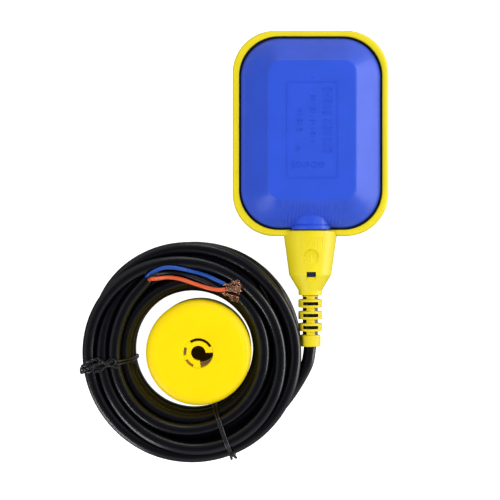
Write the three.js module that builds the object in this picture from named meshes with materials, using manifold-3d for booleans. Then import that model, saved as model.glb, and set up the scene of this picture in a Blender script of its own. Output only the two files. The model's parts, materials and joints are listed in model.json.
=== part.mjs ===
// Cable float switch (liquid level regulator): a two-shell float in a bumper frame with a
// ball-and-microswitch mechanism inside, a coiled three-core supply cable and a loose cable
// counterweight. Millimetres, +Z up. The origin is the centre of the float's flat underside,
// +Y points from the cable entry to the float's far end.
import * as THREE from 'three';
import { mergeVertices } from 'three/addons/utils/BufferGeometryUtils.js';
import Module from 'manifold-3d';

const wasm = await Module();
wasm.setup();
const { Manifold, Mesh: SolidMesh } = wasm;

// ---------------------------------------------------------------- driving dimensions
const T = 42;                                   // float thickness
const MID = T / 2;                              // seam and cable axis height
const PLATEAU = { hw: 22.4, hl: 35.4, r: 6.5 }; // flat top and bottom of the shells
const BEVEL = { out: 13.8, up: 16 };            // sloping flank, sideways and in height
const BAND = T - 2 * BEVEL.up;                  // straight band at the shell's edge
const WALL = 2;                                 // shell wall
const GAP = 0.3;                                // running gap between pieces
const RIM = { hw: 40.5, hl: 53.3, r: 22, h: 11 };        // bumper frame, outside
const RIM_IN = { hw: 37.1, hl: 50.1, r: 20.4 };          // bumper frame, inside its lips
const BOSS_R = 9.7;                             // blue cable boss on the shells
const NOSE = [[-50.6, 13.75], [-53.7, 13.75], [-73.6, 11], [-81.7, 6.15], [-84.1, 6.15]]; // [y, r]
const BORE_R = 8.8;                             // bore for the gland body
const CABLE_R = 3.25;                           // supply cable, 6.5 mm outside
const BOOT = { y0: -84.4, y1: -110.8, ring: 6.2, core: 4.4, bore: 3.65, collar: 5.4 };
const RINGS = [[-86.3, -90.5], [-92.4, -96.6], [-98.7, -102.8]];
const COIL = { x: -61.3, y: -113.3, rIn: 31.3, rOut: 57.6, h: 29.5 };
const TIE_ANGLES = [188, 291.4];                  // degrees, where the twist ties cross the coil
const WEIGHT = { x: -57.9, y: -113.3, r: 27.2, h: 34, tube: 7.6 };
const CHAMBER = { hx: 17, y0: -33, y1: 34, z0: 4.3, z1: 37.7, wall: 1.6 };
const BALL = { r: 8, y: 20.5, z: 21.3, travel: 20 };
const LEVER = { y: -6, z: 33 };                 // rocker pin
const SWITCH = { y0: -25, y1: -11.5, z0: 11, z1: 33.4, x0: -5, x1: 3.6 };
const PLUNGER_Z = 26;

// ---------------------------------------------------------------- colours
const mat = (color, roughness = 0.5, metalness = 0) => new THREE.MeshStandardMaterial({ color, roughness, metalness });
const BLUE = mat(0x2f55d6, 0.42);
const YELLOW = mat(0xf0e126, 0.45);
const YELLOW2 = mat(0xfbe30c, 0.4);
const BLACK = mat(0x17181b, 0.38);
const SEAL = mat(0x101012, 0.8);
const GREY = mat(0xa9adb3, 0.5);
const WHITE = mat(0xe8e6df, 0.5);
const RED = mat(0xc02a20, 0.45);
const STEEL = mat(0xc8ccd2, 0.2, 1);
const BRASS = mat(0xc9a24a, 0.3, 1);
const COPPER = mat(0xb87850, 0.35, 1);
const IRON = mat(0x55565a, 0.6, 0.9);
const WIRE_BLUE = mat(0x2850aa, 0.45);
const WIRE_BROWN = mat(0xe15f3c, 0.45);
const DARK = mat(0x2a2c30, 0.45);

// ---------------------------------------------------------------- solids
function solid(geometry) {
  let g = geometry.index ? geometry.clone() : geometry.clone();
  g.deleteAttribute('normal');
  g.deleteAttribute('uv');
  g = mergeVertices(g, 1e-4);
  const idx = g.index.array;
  const tris = [];
  for (let i = 0; i < idx.length; i += 3) {
    const [a, b, c] = [idx[i], idx[i + 1], idx[i + 2]];
    if (a !== b && b !== c && a !== c) tris.push(a, b, c);
  }
  const pos = new Float32Array(g.attributes.position.array);
  const volume = (t) => {
    let v = 0;
    for (let i = 0; i < t.length; i += 3) {
      const [ax, ay, az] = [pos[3 * t[i]], pos[3 * t[i] + 1], pos[3 * t[i] + 2]];
      const [bx, by, bz] = [pos[3 * t[i + 1]], pos[3 * t[i + 1] + 1], pos[3 * t[i + 1] + 2]];
      const [cx, cy, cz] = [pos[3 * t[i + 2]], pos[3 * t[i + 2] + 1], pos[3 * t[i + 2] + 2]];
      v += ax * (by * cz - bz * cy) - ay * (bx * cz - bz * cx) + az * (bx * cy - by * cx);
    }
    return v;
  };
  if (volume(tris) < 0) for (let i = 0; i < tris.length; i += 3) [tris[i + 1], tris[i + 2]] = [tris[i + 2], tris[i + 1]];
  return new Manifold(new SolidMesh({ numProp: 3, vertProperties: pos, triVerts: new Uint32Array(tris) }));
}
function geometryOf(man) {
  const m = man.getMesh();
  const g = new THREE.BufferGeometry();
  g.setAttribute('position', new THREE.BufferAttribute(new Float32Array(m.vertProperties), 3));
  g.setIndex(new THREE.BufferAttribute(new Uint32Array(m.triVerts), 1));
  const flat = g.toNonIndexed();
  flat.computeVertexNormals();
  return flat;
}
const box = (x0, x1, y0, y1, z0, z1) =>
  solid(new THREE.BoxGeometry(x1 - x0, y1 - y0, z1 - z0).translate((x0 + x1) / 2, (y0 + y1) / 2, (z0 + z1) / 2));
// cylinder along an axis through (x, y, z), from a to b on that axis
function rod(axis, r, a, b, [x, y, z], seg = 16) {
  const g = new THREE.CylinderGeometry(r, r, b - a, seg);
  if (axis === 'x') g.rotateZ(-Math.PI / 2).translate((a + b) / 2, y, z);
  if (axis === 'y') g.translate(x, (a + b) / 2, z);
  if (axis === 'z') g.rotateX(Math.PI / 2).translate(x, y, (a + b) / 2);
  return solid(g);
}
// profile of [radius, height] turned about a vertical line
function turned(profile, x, y, seg = 24) {
  const pts = profile.map(([r, h]) => new THREE.Vector2(r, h));
  return solid(new THREE.LatheGeometry(pts, seg).rotateX(Math.PI / 2).translate(x, y, 0));
}
// profile of [y, radius] turned about the cable axis
function turnedY(profile, seg = 20) {
  const pts = profile.map(([h, r]) => new THREE.Vector2(r, h));
  return solid(new THREE.LatheGeometry(pts, seg).rotateY(Math.PI / seg).translate(0, 0, MID));
}
function rrect(hw, hl, r) {
  const s = new THREE.Shape();
  s.moveTo(hw - r, -hl);
  s.absarc(hw - r, -hl + r, r, -Math.PI / 2, 0, false);
  s.absarc(hw - r, hl - r, r, 0, Math.PI / 2, false);
  s.absarc(-hw + r, hl - r, r, Math.PI / 2, Math.PI, false);
  s.absarc(-hw + r, -hl + r, r, Math.PI, 1.5 * Math.PI, false);
  return s;
}
const prism = (shape, z0, z1, seg = 6) =>
  solid(new THREE.ExtrudeGeometry(shape, { depth: z1 - z0, bevelEnabled: false, curveSegments: seg }).translate(0, 0, z0));
const bevelled = (shape, z0, z1, size, thick, steps, seg = 6) =>
  solid(new THREE.ExtrudeGeometry(shape, {
    depth: z1 - z0 - 2 * thick, bevelEnabled: true, bevelSize: size, bevelThickness: thick, bevelSegments: steps, curveSegments: seg,
  }).translate(0, 0, z0 + thick));
function polygon(points) {
  const s = new THREE.Shape();
  points.forEach(([x, y], i) => (i ? s.lineTo(x, y) : s.moveTo(x, y)));
  s.closePath();
  return s;
}
function tube(points, r, sides, steps) {
  const curve = new THREE.CatmullRomCurve3(points.map((p) => new THREE.Vector3(...p)), false, 'centripetal');
  const ring = [];
  for (let i = 0; i < sides; i++) ring.push([r * Math.cos((2 * Math.PI * i) / sides), r * Math.sin((2 * Math.PI * i) / sides)]);
  return solid(new THREE.ExtrudeGeometry(polygon(ring), { steps, bevelEnabled: false, extrudePath: curve }));
}

const group = new THREE.Group();
function add(name, man, material) {
  const mesh = new THREE.Mesh(geometryOf(man), material);
  mesh.name = name;
  group.add(mesh);
  return mesh;
}

// ---------------------------------------------------------------- float shells
// the boss is a tube with a round hump on each shell
const boss = (extra, y0, y1) => rod('y', BOSS_R + extra, y0, y1, [0, 0, MID + 3.7], 28)
  .add(rod('y', BOSS_R + extra, y0, y1, [0, 0, MID - 3.7], 28))
  .add(rod('y', BOSS_R + 0.7 + extra, y0, y1, [0, 0, MID], 28));
const plateau = rrect(PLATEAU.hw, PLATEAU.hl, PLATEAU.r);
let hull = bevelled(plateau, 0, T, BEVEL.out, BEVEL.up, 1);
hull = hull.add(boss(0, -50.1, -36));
const cavity = bevelled(rrect(20.9, 33.9, 5), WALL, T - WALL, 13.1, BEVEL.up - WALL, 1);
const boreTube = boss(0, -50.0, -36);
let floatBody = hull.subtract(cavity.subtract(boreTube)).subtract(rod('y', BORE_R, -60, -30, [0, 0, MID], 20));
// ribs that locate the switch chamber
const rib = (z0, z1) => box(-12, 12, -18, -16, z0, z1).add(box(-12, 12, 16, 18, z0, z1)).add(box(-1, 1, -18, 18, z0, z1));
const upper = floatBody.intersect(box(-90, 90, -90, 90, MID + GAP / 2, T + 5)).add(rib(CHAMBER.z1 + GAP, T - 1));
const lower = floatBody.intersect(box(-90, 90, -90, 90, -5, MID - GAP / 2)).add(rib(1, CHAMBER.z0 - GAP));
add('upper_shell', upper, BLUE);
add('lower_shell', lower, BLUE);

// ---------------------------------------------------------------- bumper frame with nose
let frame = bevelled(rrect(RIM.hw - 1.5, RIM.hl - 1.5, RIM.r - 1.5), MID - RIM.h / 2, MID + RIM.h / 2, 1.5, 1.5, 2);
const noseOuter = turnedY([[-50.6, 0], ...NOSE, [-84.1, 0]], 28);
frame = frame.add(noseOuter);
frame = frame.subtract(prism(rrect(RIM_IN.hw, RIM_IN.hl, RIM_IN.r), -5, T + 5));
// groove behind the lips for the sealing band, and room for the cable boss
frame = frame.subtract(prism(rrect(RIM_IN.hw + 1.1, RIM_IN.hl + 1.1, RIM_IN.r + 1.1), MID - 4.3, MID + 4.3));
frame = frame.subtract(boss(0.3, -50.4, -40));
frame = frame.subtract(rod('y', BORE_R, -75, -45, [0, 0, MID], 20));
frame = frame.subtract(rod('y', 3.9, -90, -70, [0, 0, MID], 16));
frame = frame.subtract(box(-2.2, 2.2, -74.5, -71.9, MID, T)).subtract(box(-2.2, 2.2, -74.5, -71.9, 0, MID));
add('bumper_frame', frame, YELLOW);

// sealing band between the shells and the frame
let gasket = prism(rrect(37.9, 50.9, 21.2), MID - 4, MID + 4).subtract(prism(rrect(36.5, 49.5, 20.6), 0, T));
gasket = gasket.subtract(boss(0.4, -60, -45));
add('rim_gasket', gasket, SEAL);

// ---------------------------------------------------------------- cable gland
let gland = rod('y', 8.5, -74.6, -33.5, [0, 0, MID], 20).add(rod('y', 11, -35.7, -33.5, [0, 0, MID], 20));
gland = gland.add(box(-1.8, 1.8, -74.1, -72.3, MID + 7, MID + 9.3)).add(box(-1.8, 1.8, -74.1, -72.3, MID - 9.3, MID - 7));
gland = gland.subtract(rod('y', 5.3, -68.6, -20, [0, 0, MID], 16)).subtract(rod('y', 3.9, -90, -60, [0, 0, MID], 16));
add('gland_body', gland, BLUE);
const sleeve = (r0, r1, y0, y1) => rod('y', r1, y0, y1, [0, 0, MID], 16).subtract(rod('y', r0, y0 - 1, y1 + 1, [0, 0, MID], 16));
add('gland_seal', sleeve(3.6, 4.95, -66, -45), SEAL);
add('gland_washer', sleeve(3.7, 4.95, -68.3, -66.3), GREY);
add('gland_clamp_ring', sleeve(3.7, 4.95, -44.7, -41.7), GREY);
add('cable_inner_run', rod('y', CABLE_R, -84.1, -30.9, [0, 0, MID], 12), BLACK);

// ---------------------------------------------------------------- ribbed strain relief
const profile = [[BOOT.y0, 0], [BOOT.y0, BOOT.core]];
for (const [a, b] of RINGS) profile.push([a, BOOT.core], [a, BOOT.ring], [b, BOOT.ring], [b, BOOT.core]);
profile.push([-104.9, BOOT.core], [-104.9, BOOT.collar], [BOOT.y1, BOOT.collar], [BOOT.y1, 0]);
let boot = turnedY(profile, 16).subtract(rod('y', BOOT.bore, -120, -80, [0, 0, MID], 12));
for (const [a, b] of RINGS) boot = boot.subtract(box(-3.65, 3.65, (a + b) / 2 - 0.85, (a + b) / 2 + 0.85, 0, T));
for (const [a, b] of [[-84.9, -86.1], [-90.7, -92.2], [-96.8, -98.5], [-103, -104.7]])
  boot = boot.subtract(box(2.1, 9, b, a, 10, 32)).subtract(box(-9, -2.1, b, a, 10, 32));
add('strain_relief_boot', boot, YELLOW);
add('cable_in_boot', rod('y', CABLE_R, -110.8, -84.4, [0, 0, MID], 12), BLACK);

// ---------------------------------------------------------------- free supply cable
const LEAD = [[0, -111.1, 21], [-0.15, -114.5, 21], [-1.1, -118.4, 20.8], [-2.8, -122.8, 20.3], [-5.2, -127.4, 19.5],
  [-8.2, -132.4, 18.6], [-11.6, -137.8, 17.6]];
add('supply_cable_lead', tube(LEAD, CABLE_R, 10, 12), BLACK);
const coilProfile = [[COIL.rIn, 1], [COIL.rIn + 1, 0], [COIL.rOut - 1.5, 0], [COIL.rOut, 1.5], [COIL.rOut, 26.5], [COIL.rOut - 2.4, COIL.h],
  [COIL.rIn + 2.4, COIL.h], [COIL.rIn, 26.5]];
let coil = turned([...coilProfile, coilProfile[0]], COIL.x, COIL.y, 48);
coil = coil.subtract(tube([...LEAD, [-14.2, -141.5, 16.8]], CABLE_R + 0.4, 10, 12));
coil = coil.subtract(rod('y', BOOT.ring + 0.6, -111.3, -60, [0, 0, MID], 20));
// pocket in the top layer, where the stripped cores lie
const pocket = new THREE.Shape();
const rad = (d) => (d * Math.PI) / 180;
pocket.absarc(0, 0, 49.5, rad(44), rad(123), false);
pocket.absarc(0, 0, 28, rad(123), rad(44), true);
pocket.closePath();
coil = coil.subtract(prism(pocket, 23.2, 45, 12).translate([COIL.x, COIL.y, 0]));
// channels for the twist ties, and the ties in them
const band = (inset, w) => {
  const a = COIL.rIn + inset, b = COIL.rOut - inset, z0 = inset, z1 = COIL.h - inset;
  const outline = [[a, z0], [b, z0], [b, z1 - 2.2], [b - 2.2, z1], [a + 2.2, z1], [a, z1 - 2.2]];
  return solid(new THREE.ExtrudeGeometry(polygon(outline), { depth: w, bevelEnabled: false })
    .translate(0, 0, -w / 2).rotateX(Math.PI / 2));
};
const placed = (man, deg) => man.rotate([0, 0, deg]).translate([COIL.x, COIL.y, 0]);
for (const deg of TIE_ANGLES) {
  const trench = band(-3, 3).subtract(band(1.6, 3.4));
  coil = coil.subtract(placed(trench, deg));
}
add('supply_cable_coil', coil, BLACK);
const knot = (r, w, l) => box(r - l / 2, r + l / 2, -w / 2, w / 2, COIL.h - 1.5, COIL.h + 2);
add('twist_tie_left', placed(band(0.15, 2.2).subtract(band(1.3, 4)).add(knot(51, 3, 8)), TIE_ANGLES[0]), DARK);
add('twist_tie_bottom', placed(band(0.15, 2.2).subtract(band(1.3, 4)).add(knot(54, 2.4, 4)), TIE_ANGLES[1]), DARK);

// stripped cores in the pocket
const CORE_R = 1.05;
add('core_blue', tube([[-85.9, -74.0, 26.9], [-81.4, -70.9, 26.4], [-75.7, -69.6, 25.6], [-70.0, -69.9, 24.8], [-61.6, -71.6, 24.5],
  [-53.1, -74.1, 24.5], [-47.4, -76.7, 24.6], [-44.4, -78.1, 24.8]], CORE_R, 8, 16), WIRE_BLUE);
add('core_brown', tube([[-84.2, -77.2, 26.6], [-79.1, -75.6, 26.8], [-73.4, -75.0, 26.9], [-67.2, -75.9, 27.0], [-59.9, -78.2, 27.0],
  [-53.1, -80.2, 26.9], [-47.4, -81.0, 26.8], [-43.6, -80.8, 26.6]], CORE_R, 8, 16), WIRE_BROWN);
add('core_black', tube([[-84.4, -74.9, 24.9], [-78.0, -72.8, 24.5], [-70.0, -72.6, 24.4], [-61.7, -74.4, 24.4], [-53.3, -77.6, 24.4],
  [-48.0, -80.4, 24.4], [-45.0, -82.4, 24.4]], CORE_R, 8, 16), BLACK);
add('copper_end_blue', tube([[-44.0, -78.3, 24.8], [-41.4, -78.6, 25.6], [-39.0, -77.9, 26.3], [-37.4, -78.6, 26.2]], 0.9, 8, 6), COPPER);
add('copper_end_brown', tube([[-43.2, -80.8, 26.6], [-41.0, -80.9, 27.8], [-38.6, -80.4, 28.2], [-36.9, -81.6, 27.6]], 0.9, 8, 6), COPPER);
add('copper_end_black', tube([[-44.6, -82.7, 24.4], [-42.0, -84.4, 24.3], [-39.6, -85.6, 24.4], [-37.9, -87.2, 24.4]], 0.9, 8, 6), COPPER);

// ---------------------------------------------------------------- switch chamber
const c = CHAMBER;
let shellBox = box(-c.hx, c.hx, c.y0, c.y1, c.z0, c.z1)
  .subtract(box(-c.hx + c.wall, c.hx - c.wall, c.y0 + c.wall, c.y1 - c.wall, c.z0 + c.wall, c.z1 - c.wall))
  .subtract(rod('y', CABLE_R + 0.4, c.y0 - 2, c.y0 + 4, [0, 0, MID], 16));
let chamberBase = shellBox.intersect(box(-50, 50, -50, 50, 0, MID - 0.15));
let chamberLid = shellBox.intersect(box(-50, 50, -50, 50, MID + 0.15, 50));
// block that carries the microswitch, and ears for the rocker pin
chamberBase = chamberBase.add(box(-c.hx + 1, -5.3, SWITCH.y0, SWITCH.y1, c.z0 + 1, 17));
for (const y of [-13.3, -23.2]) chamberBase = chamberBase.subtract(rod('x', 1.35, -12, 0, [0, y, 13.6], 10));
for (const s of [-1, 1]) {
  const ear = s < 0 ? box(-11, -9, LEVER.y - 3, LEVER.y + 3, LEVER.z - 3.4, c.z1 - 1) : box(9, 11, LEVER.y - 3, LEVER.y + 3, LEVER.z - 3.4, c.z1 - 1);
  chamberLid = chamberLid.add(ear);
}
chamberLid = chamberLid.subtract(rod('x', 1.4, -14, 14, [0, LEVER.y, LEVER.z], 12));
add('chamber_base', chamberBase, WHITE);
add('chamber_lid', chamberLid, WHITE);
// ball race: an open trough
const race = box(-10.5, 10.5, -2, 31.5, 6.3, 24).subtract(rod('y', BALL.r + GAP, -9, 40, [0, 0, BALL.z], 20))
  .subtract(box(-BALL.r - GAP, BALL.r + GAP, -9, 40, BALL.z, 40)).subtract(box(-7, 7, 8, 24, 0, 12.4));
add('ball_race', race, GREY);
add('race_end_buffer', rod('y', 5, 28.9, 31.4, [0, 0, BALL.z], 16), SEAL);
add('steel_ball', solid(new THREE.SphereGeometry(BALL.r - 0.05, 20, 12).translate(0, BALL.y, BALL.z)), STEEL);
// rocker lever: hub on the pin and a paddle hanging in the ball's way
let lever = rod('x', 2.4, -7.5, 7.5, [0, LEVER.y, LEVER.z], 14).add(box(-6, 6, -7.9, -6.0, 19, LEVER.z));
lever = lever.subtract(rod('x', 1.35, -9, 9, [0, LEVER.y, LEVER.z], 12));
add('rocker_lever', lever, WHITE);
add('rocker_pin', rod('x', 1.05, -10.8, 10.8, [0, LEVER.y, LEVER.z], 12), STEEL);

// ---------------------------------------------------------------- microswitch
const s = SWITCH;
let mcase = box(s.x0, s.x1, s.y0, s.y1, s.z0, s.z1).subtract(box(s.x0 + 1.4, s.x1 + 1, s.y0 + 1.4, s.y1 - 1.4, s.z0 + 5, s.z1 - 1.4));
mcase = mcase.subtract(rod('y', 1.6, s.y1 - 2, s.y1 + 1, [0, 0, PLUNGER_Z], 12));
for (const y of [-13.3, -23.2]) mcase = mcase.subtract(rod('x', 1.35, -9, 9, [0, y, 13.6], 10));
for (const z of [17.2, 27.4, 30.3]) mcase = mcase.subtract(box(-2, 2, s.y0 - 1, s.y0 + 2, z - 0.4, z + 1.2));
add('microswitch_case', mcase, DARK);
let mcover = box(3.9, 5.0, s.y0, s.y1, s.z0, s.z1);
for (const y of [-13.3, -23.2]) mcover = mcover.subtract(rod('x', 1.35, 0, 9, [0, y, 13.6], 10));
add('microswitch_cover', mcover, DARK);
add('microswitch_plunger', rod('y', 1.25, -16.2, -8.3, [0, 0, PLUNGER_Z], 12), RED);
// the common strip carries the blade's foot; the blade swings between the two contacts
add('contact_blade', box(-1.5, 1.5, -17, -16.6, 18.4, 29.2), BRASS);
add('terminal_common', box(-1.5, 1.5, -27.2, -16.4, 17.2, 18.0), BRASS);
add('terminal_normally_open', box(-1.5, 1.5, -27.2, -18.5, 27.4, 28.2), BRASS);
add('terminal_normally_closed', box(-1.5, 1.5, -27.2, -15.5, 30.3, 31.1).add(box(-1.5, 1.5, -16.3, -15.5, 27.6, 31.1)), BRASS);
for (const [i, y] of [[1, -13.3], [2, -23.2]])
  add(`switch_screw_${i}`, rod('x', 1.05, -11, 6, [0, y, 13.6], 10).add(rod('x', 2.0, 5.3, 6.6, [0, y, 13.6], 12)), STEEL);
// cores from the cable's inner end to the terminals
add('inner_core_black', tube([[0, -30.3, 19.6], [0, -29.8, 18.9], [0, -29.0, 18.0], [0, -27.5, 17.6]], 0.7, 8, 6), BLACK);
add('inner_core_blue', tube([[-1.2, -30.3, 22.2], [-1.1, -29.9, 23.6], [-0.6, -29.1, 26.2], [0, -27.5, 27.8]], 0.7, 8, 8), WIRE_BLUE);
add('inner_core_brown', tube([[1.4, -30.2, 22.2], [1.6, -29.9, 24.2], [1.6, -29.6, 28.4], [1.0, -27.5, 30.7]], 0.7, 8, 8), WIRE_BROWN);

// ---------------------------------------------------------------- counterweight
const w = WEIGHT;
const split = w.h / 2;
const upperProfile = [[w.tube, split + 0.15], [w.tube, w.h], [18, w.h], [w.r - 4.2, w.h - 0.2], [w.r - 1.2, w.h - 1.6], [w.r, w.h - 5],
  [w.r, split + 0.15], [w.r - 2, split + 0.15], [w.r - 2, w.h - 5], [w.r - 3.6, w.h - 2.2], [w.tube + 1.6, w.h - 2.2], [w.tube + 1.6, split + 0.15]];
add('weight_upper_shell', turned([...upperProfile, upperProfile[0]], w.x, w.y, 32), YELLOW2);
const lowerProfile = upperProfile.map(([r, z]) => [r, w.h - z]).reverse();
add('weight_lower_shell', turned([...lowerProfile, lowerProfile[0]], w.x, w.y, 32), YELLOW2);
const slug = [[w.tube + 2, 2.6], [w.r - 4, 2.6], [w.r - 2.5, 5.4], [w.r - 2.5, w.h - 5.4], [w.r - 4, w.h - 2.6], [w.tube + 2, w.h - 2.6]];
add('weight_iron_core', turned([...slug, slug[0]], w.x, w.y, 28), IRON);
// break-out ring that locks the weight on the cable: a C with four webs
const ringShape = new THREE.Shape();
const arc = (r, a, b, n) => Array.from({ length: n + 1 }, (_, i) => {
  const t = rad(a + ((b - a) * i) / n);
  return [r * Math.cos(t), r * Math.sin(t)];
});
const outline = [];
for (const [a, b, r] of [[2, 28, 7.25], [28, 126, 6.2], [126, 156, 7.25], [156, 189, 6.2], [189, 209, 7.25], [209, 248, 6.2], [248, 280, 7.25]])
  outline.push(...arc(r, a + 0.01, b - 0.01, Math.max(2, Math.round((b - a) / 14))));
outline.push(...arc(3.75, 280, 2, 18));
outline.forEach(([x, y], i) => (i ? ringShape.lineTo(x, y) : ringShape.moveTo(x, y)));
ringShape.closePath();
add('cable_lock_ring', prism(ringShape, w.h - 3.4, w.h - 0.2).translate([w.x, w.y, 0]), YELLOW2);

export default group;
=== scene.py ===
import json
import math
import random

import bmesh
import bpy
import numpy as np
from mathutils import Matrix, Vector


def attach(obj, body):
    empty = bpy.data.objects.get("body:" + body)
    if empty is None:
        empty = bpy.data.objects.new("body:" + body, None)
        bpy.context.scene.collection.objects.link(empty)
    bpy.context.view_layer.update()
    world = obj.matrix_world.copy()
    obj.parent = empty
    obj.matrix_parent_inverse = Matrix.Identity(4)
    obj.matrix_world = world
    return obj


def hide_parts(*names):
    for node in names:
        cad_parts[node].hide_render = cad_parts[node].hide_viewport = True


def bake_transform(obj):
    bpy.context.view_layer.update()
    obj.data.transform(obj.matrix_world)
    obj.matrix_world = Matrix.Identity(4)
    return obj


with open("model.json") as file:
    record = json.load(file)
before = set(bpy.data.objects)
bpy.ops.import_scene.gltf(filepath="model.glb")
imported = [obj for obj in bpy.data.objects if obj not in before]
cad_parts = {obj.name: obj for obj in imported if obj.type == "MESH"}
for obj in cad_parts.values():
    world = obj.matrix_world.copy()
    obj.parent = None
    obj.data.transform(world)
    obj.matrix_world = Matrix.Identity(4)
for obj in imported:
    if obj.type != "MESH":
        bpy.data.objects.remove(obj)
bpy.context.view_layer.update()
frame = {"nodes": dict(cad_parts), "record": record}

# A cable float switch: float in its bumper frame, ribbed strain relief, coiled cable with bare cores,
# two wire ties and a loose counterweight. Shapes below are in millimetres and are scaled when built.
MM = 0.001
MID = 21.0
CABLE_R = 3.25
COIL = (-61.3, -113.3)
WEIGHT = (-57.9, -113.3)
T_FLOAT = 42.0

scene = bpy.context.scene
coll = scene.collection


# ---------------------------------------------------------------- camera, lights, floor
cam_data = bpy.data.cameras.new("camera")
cam_data.sensor_width = 36
cam_data.lens = 79.8
cam_data.clip_start = 0.01
cam = bpy.data.objects.new("camera", cam_data)
cam.location = (-0.03146, -0.06057, 0.600)
cam.rotation_euler = (0, 0, 0)
coll.objects.link(cam)
scene.camera = cam

scene.view_settings.view_transform = 'Standard'
scene.view_settings.look = 'None'
scene.view_settings.exposure = 0.0
scene.view_settings.gamma = 1.0


def area(name, loc, target, size, power, color=(1, 1, 1)):
    d = bpy.data.lights.new(name, 'AREA')
    d.shape = 'RECTANGLE'
    d.size, d.size_y = size
    d.energy = power
    d.color = color
    o = bpy.data.objects.new(name, d)
    o.location = loc
    o.rotation_euler = (Vector(target) - Vector(loc)).to_track_quat('-Z', 'Y').to_euler()
    coll.objects.link(o)
    return o


area("key_right", (1.15, 0.12, 0.25), (-0.03, -0.06, 0.02), (1.4, 0.26), 7.5)
area("strip_top", (0.10, 1.12, 0.42), (-0.03, -0.06, 0.02), (0.8, 0.07), 1.3)
area("strip_low_left", (-0.90, -0.98, 0.50), (-0.03, -0.06, 0.02), (0.60, 0.07), 2.8)
# soft light from above, which isn't mirrored in the glossy jacket
for name, loc, power in (("soft_right", (0.85, 0.25, 1.27), 12.0), ("soft_left", (-0.95, -0.38, 1.27), 14.0)):
    soft = area(name, loc, (-0.03, -0.06, 0.02), (0.7, 0.7), power)
    soft.visible_glossy = False
# the bright table edges, mirrored only
for name, loc, size, power in (("sheen_right", (1.20, 0.05, -0.20), (1.6, 0.6), 6.5),
                               ("sheen_low_left", (-0.86, -0.90, -0.02), (0.8, 0.36), 4.2),
                               ("sheen_top", (0.25, 1.15, 0.05), (0.9, 0.30), 0.8)):
    sheen = area(name, loc, (-0.03, -0.06, 0.02), size, power)
    sheen.visible_diffuse = False

world = bpy.data.worlds.new("studio")
scene.world = world
world.use_nodes = True
wn, wl = world.node_tree.nodes, world.node_tree.links
bg = wn["Background"]
tc = wn.new("ShaderNodeTexCoord")
sep = wn.new("ShaderNodeSeparateXYZ")
ramp = wn.new("ShaderNodeValToRGB")
# dark overhead, bright near the horizon, a softly lit table below it
ramp.color_ramp.elements[0].position = 0.0
ramp.color_ramp.elements[0].color = (0.25, 0.25, 0.25, 1)
ramp.color_ramp.elements[1].position = 0.98
ramp.color_ramp.elements[1].color = (0.07, 0.07, 0.073, 1)
for pos, v in ((0.30, 0.55), (0.44, 0.80), (0.50, 0.74), (0.58, 0.62), (0.67, 0.56), (0.79, 0.37), (0.88, 0.22)):
    e = ramp.color_ramp.elements.new(pos)
    e.color = (v, v, v, 1)
half = wn.new("ShaderNodeMapRange")
half.inputs["From Min"].default_value = -1.0
half.inputs["From Max"].default_value = 1.0
wl.new(tc.outputs["Generated"], sep.inputs[0])
wl.new(sep.outputs["Z"], half.inputs["Value"])
wl.new(half.outputs["Result"], ramp.inputs[0])
# below the horizon the table is brighter to the right and behind than to the left
side = wn.new("ShaderNodeVectorMath")
side.operation = 'DOT_PRODUCT'
side.inputs[1].default_value = (0.45, 0.22, 0.0)
fac = wn.new("ShaderNodeMapRange")
for key, v in (("From Min", -0.45), ("From Max", 0.45), ("To Min", 0.15), ("To Max", 1.0)):
    fac.inputs[key].default_value = v
up = wn.new("ShaderNodeMapRange")
for key, v in (("From Min", 0.0), ("From Max", 0.28), ("To Min", 0.0), ("To Max", 1.0)):
    up.inputs[key].default_value = v
mixf = wn.new("ShaderNodeMix")
mixf.inputs["B"].default_value = 1.0
mul = wn.new("ShaderNodeVectorMath")
mul.operation = 'SCALE'
wl.new(tc.outputs["Generated"], side.inputs[0])
wl.new(side.outputs["Value"], fac.inputs["Value"])
wl.new(sep.outputs["Z"], up.inputs["Value"])
wl.new(up.outputs["Result"], mixf.inputs["Factor"])
wl.new(fac.outputs["Result"], mixf.inputs["A"])
wl.new(ramp.outputs[0], mul.inputs[0])
wl.new(mixf.outputs["Result"], mul.inputs["Scale"])
wl.new(mul.outputs["Vector"], bg.inputs["Color"])
bg.inputs["Strength"].default_value = 1.0


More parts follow.
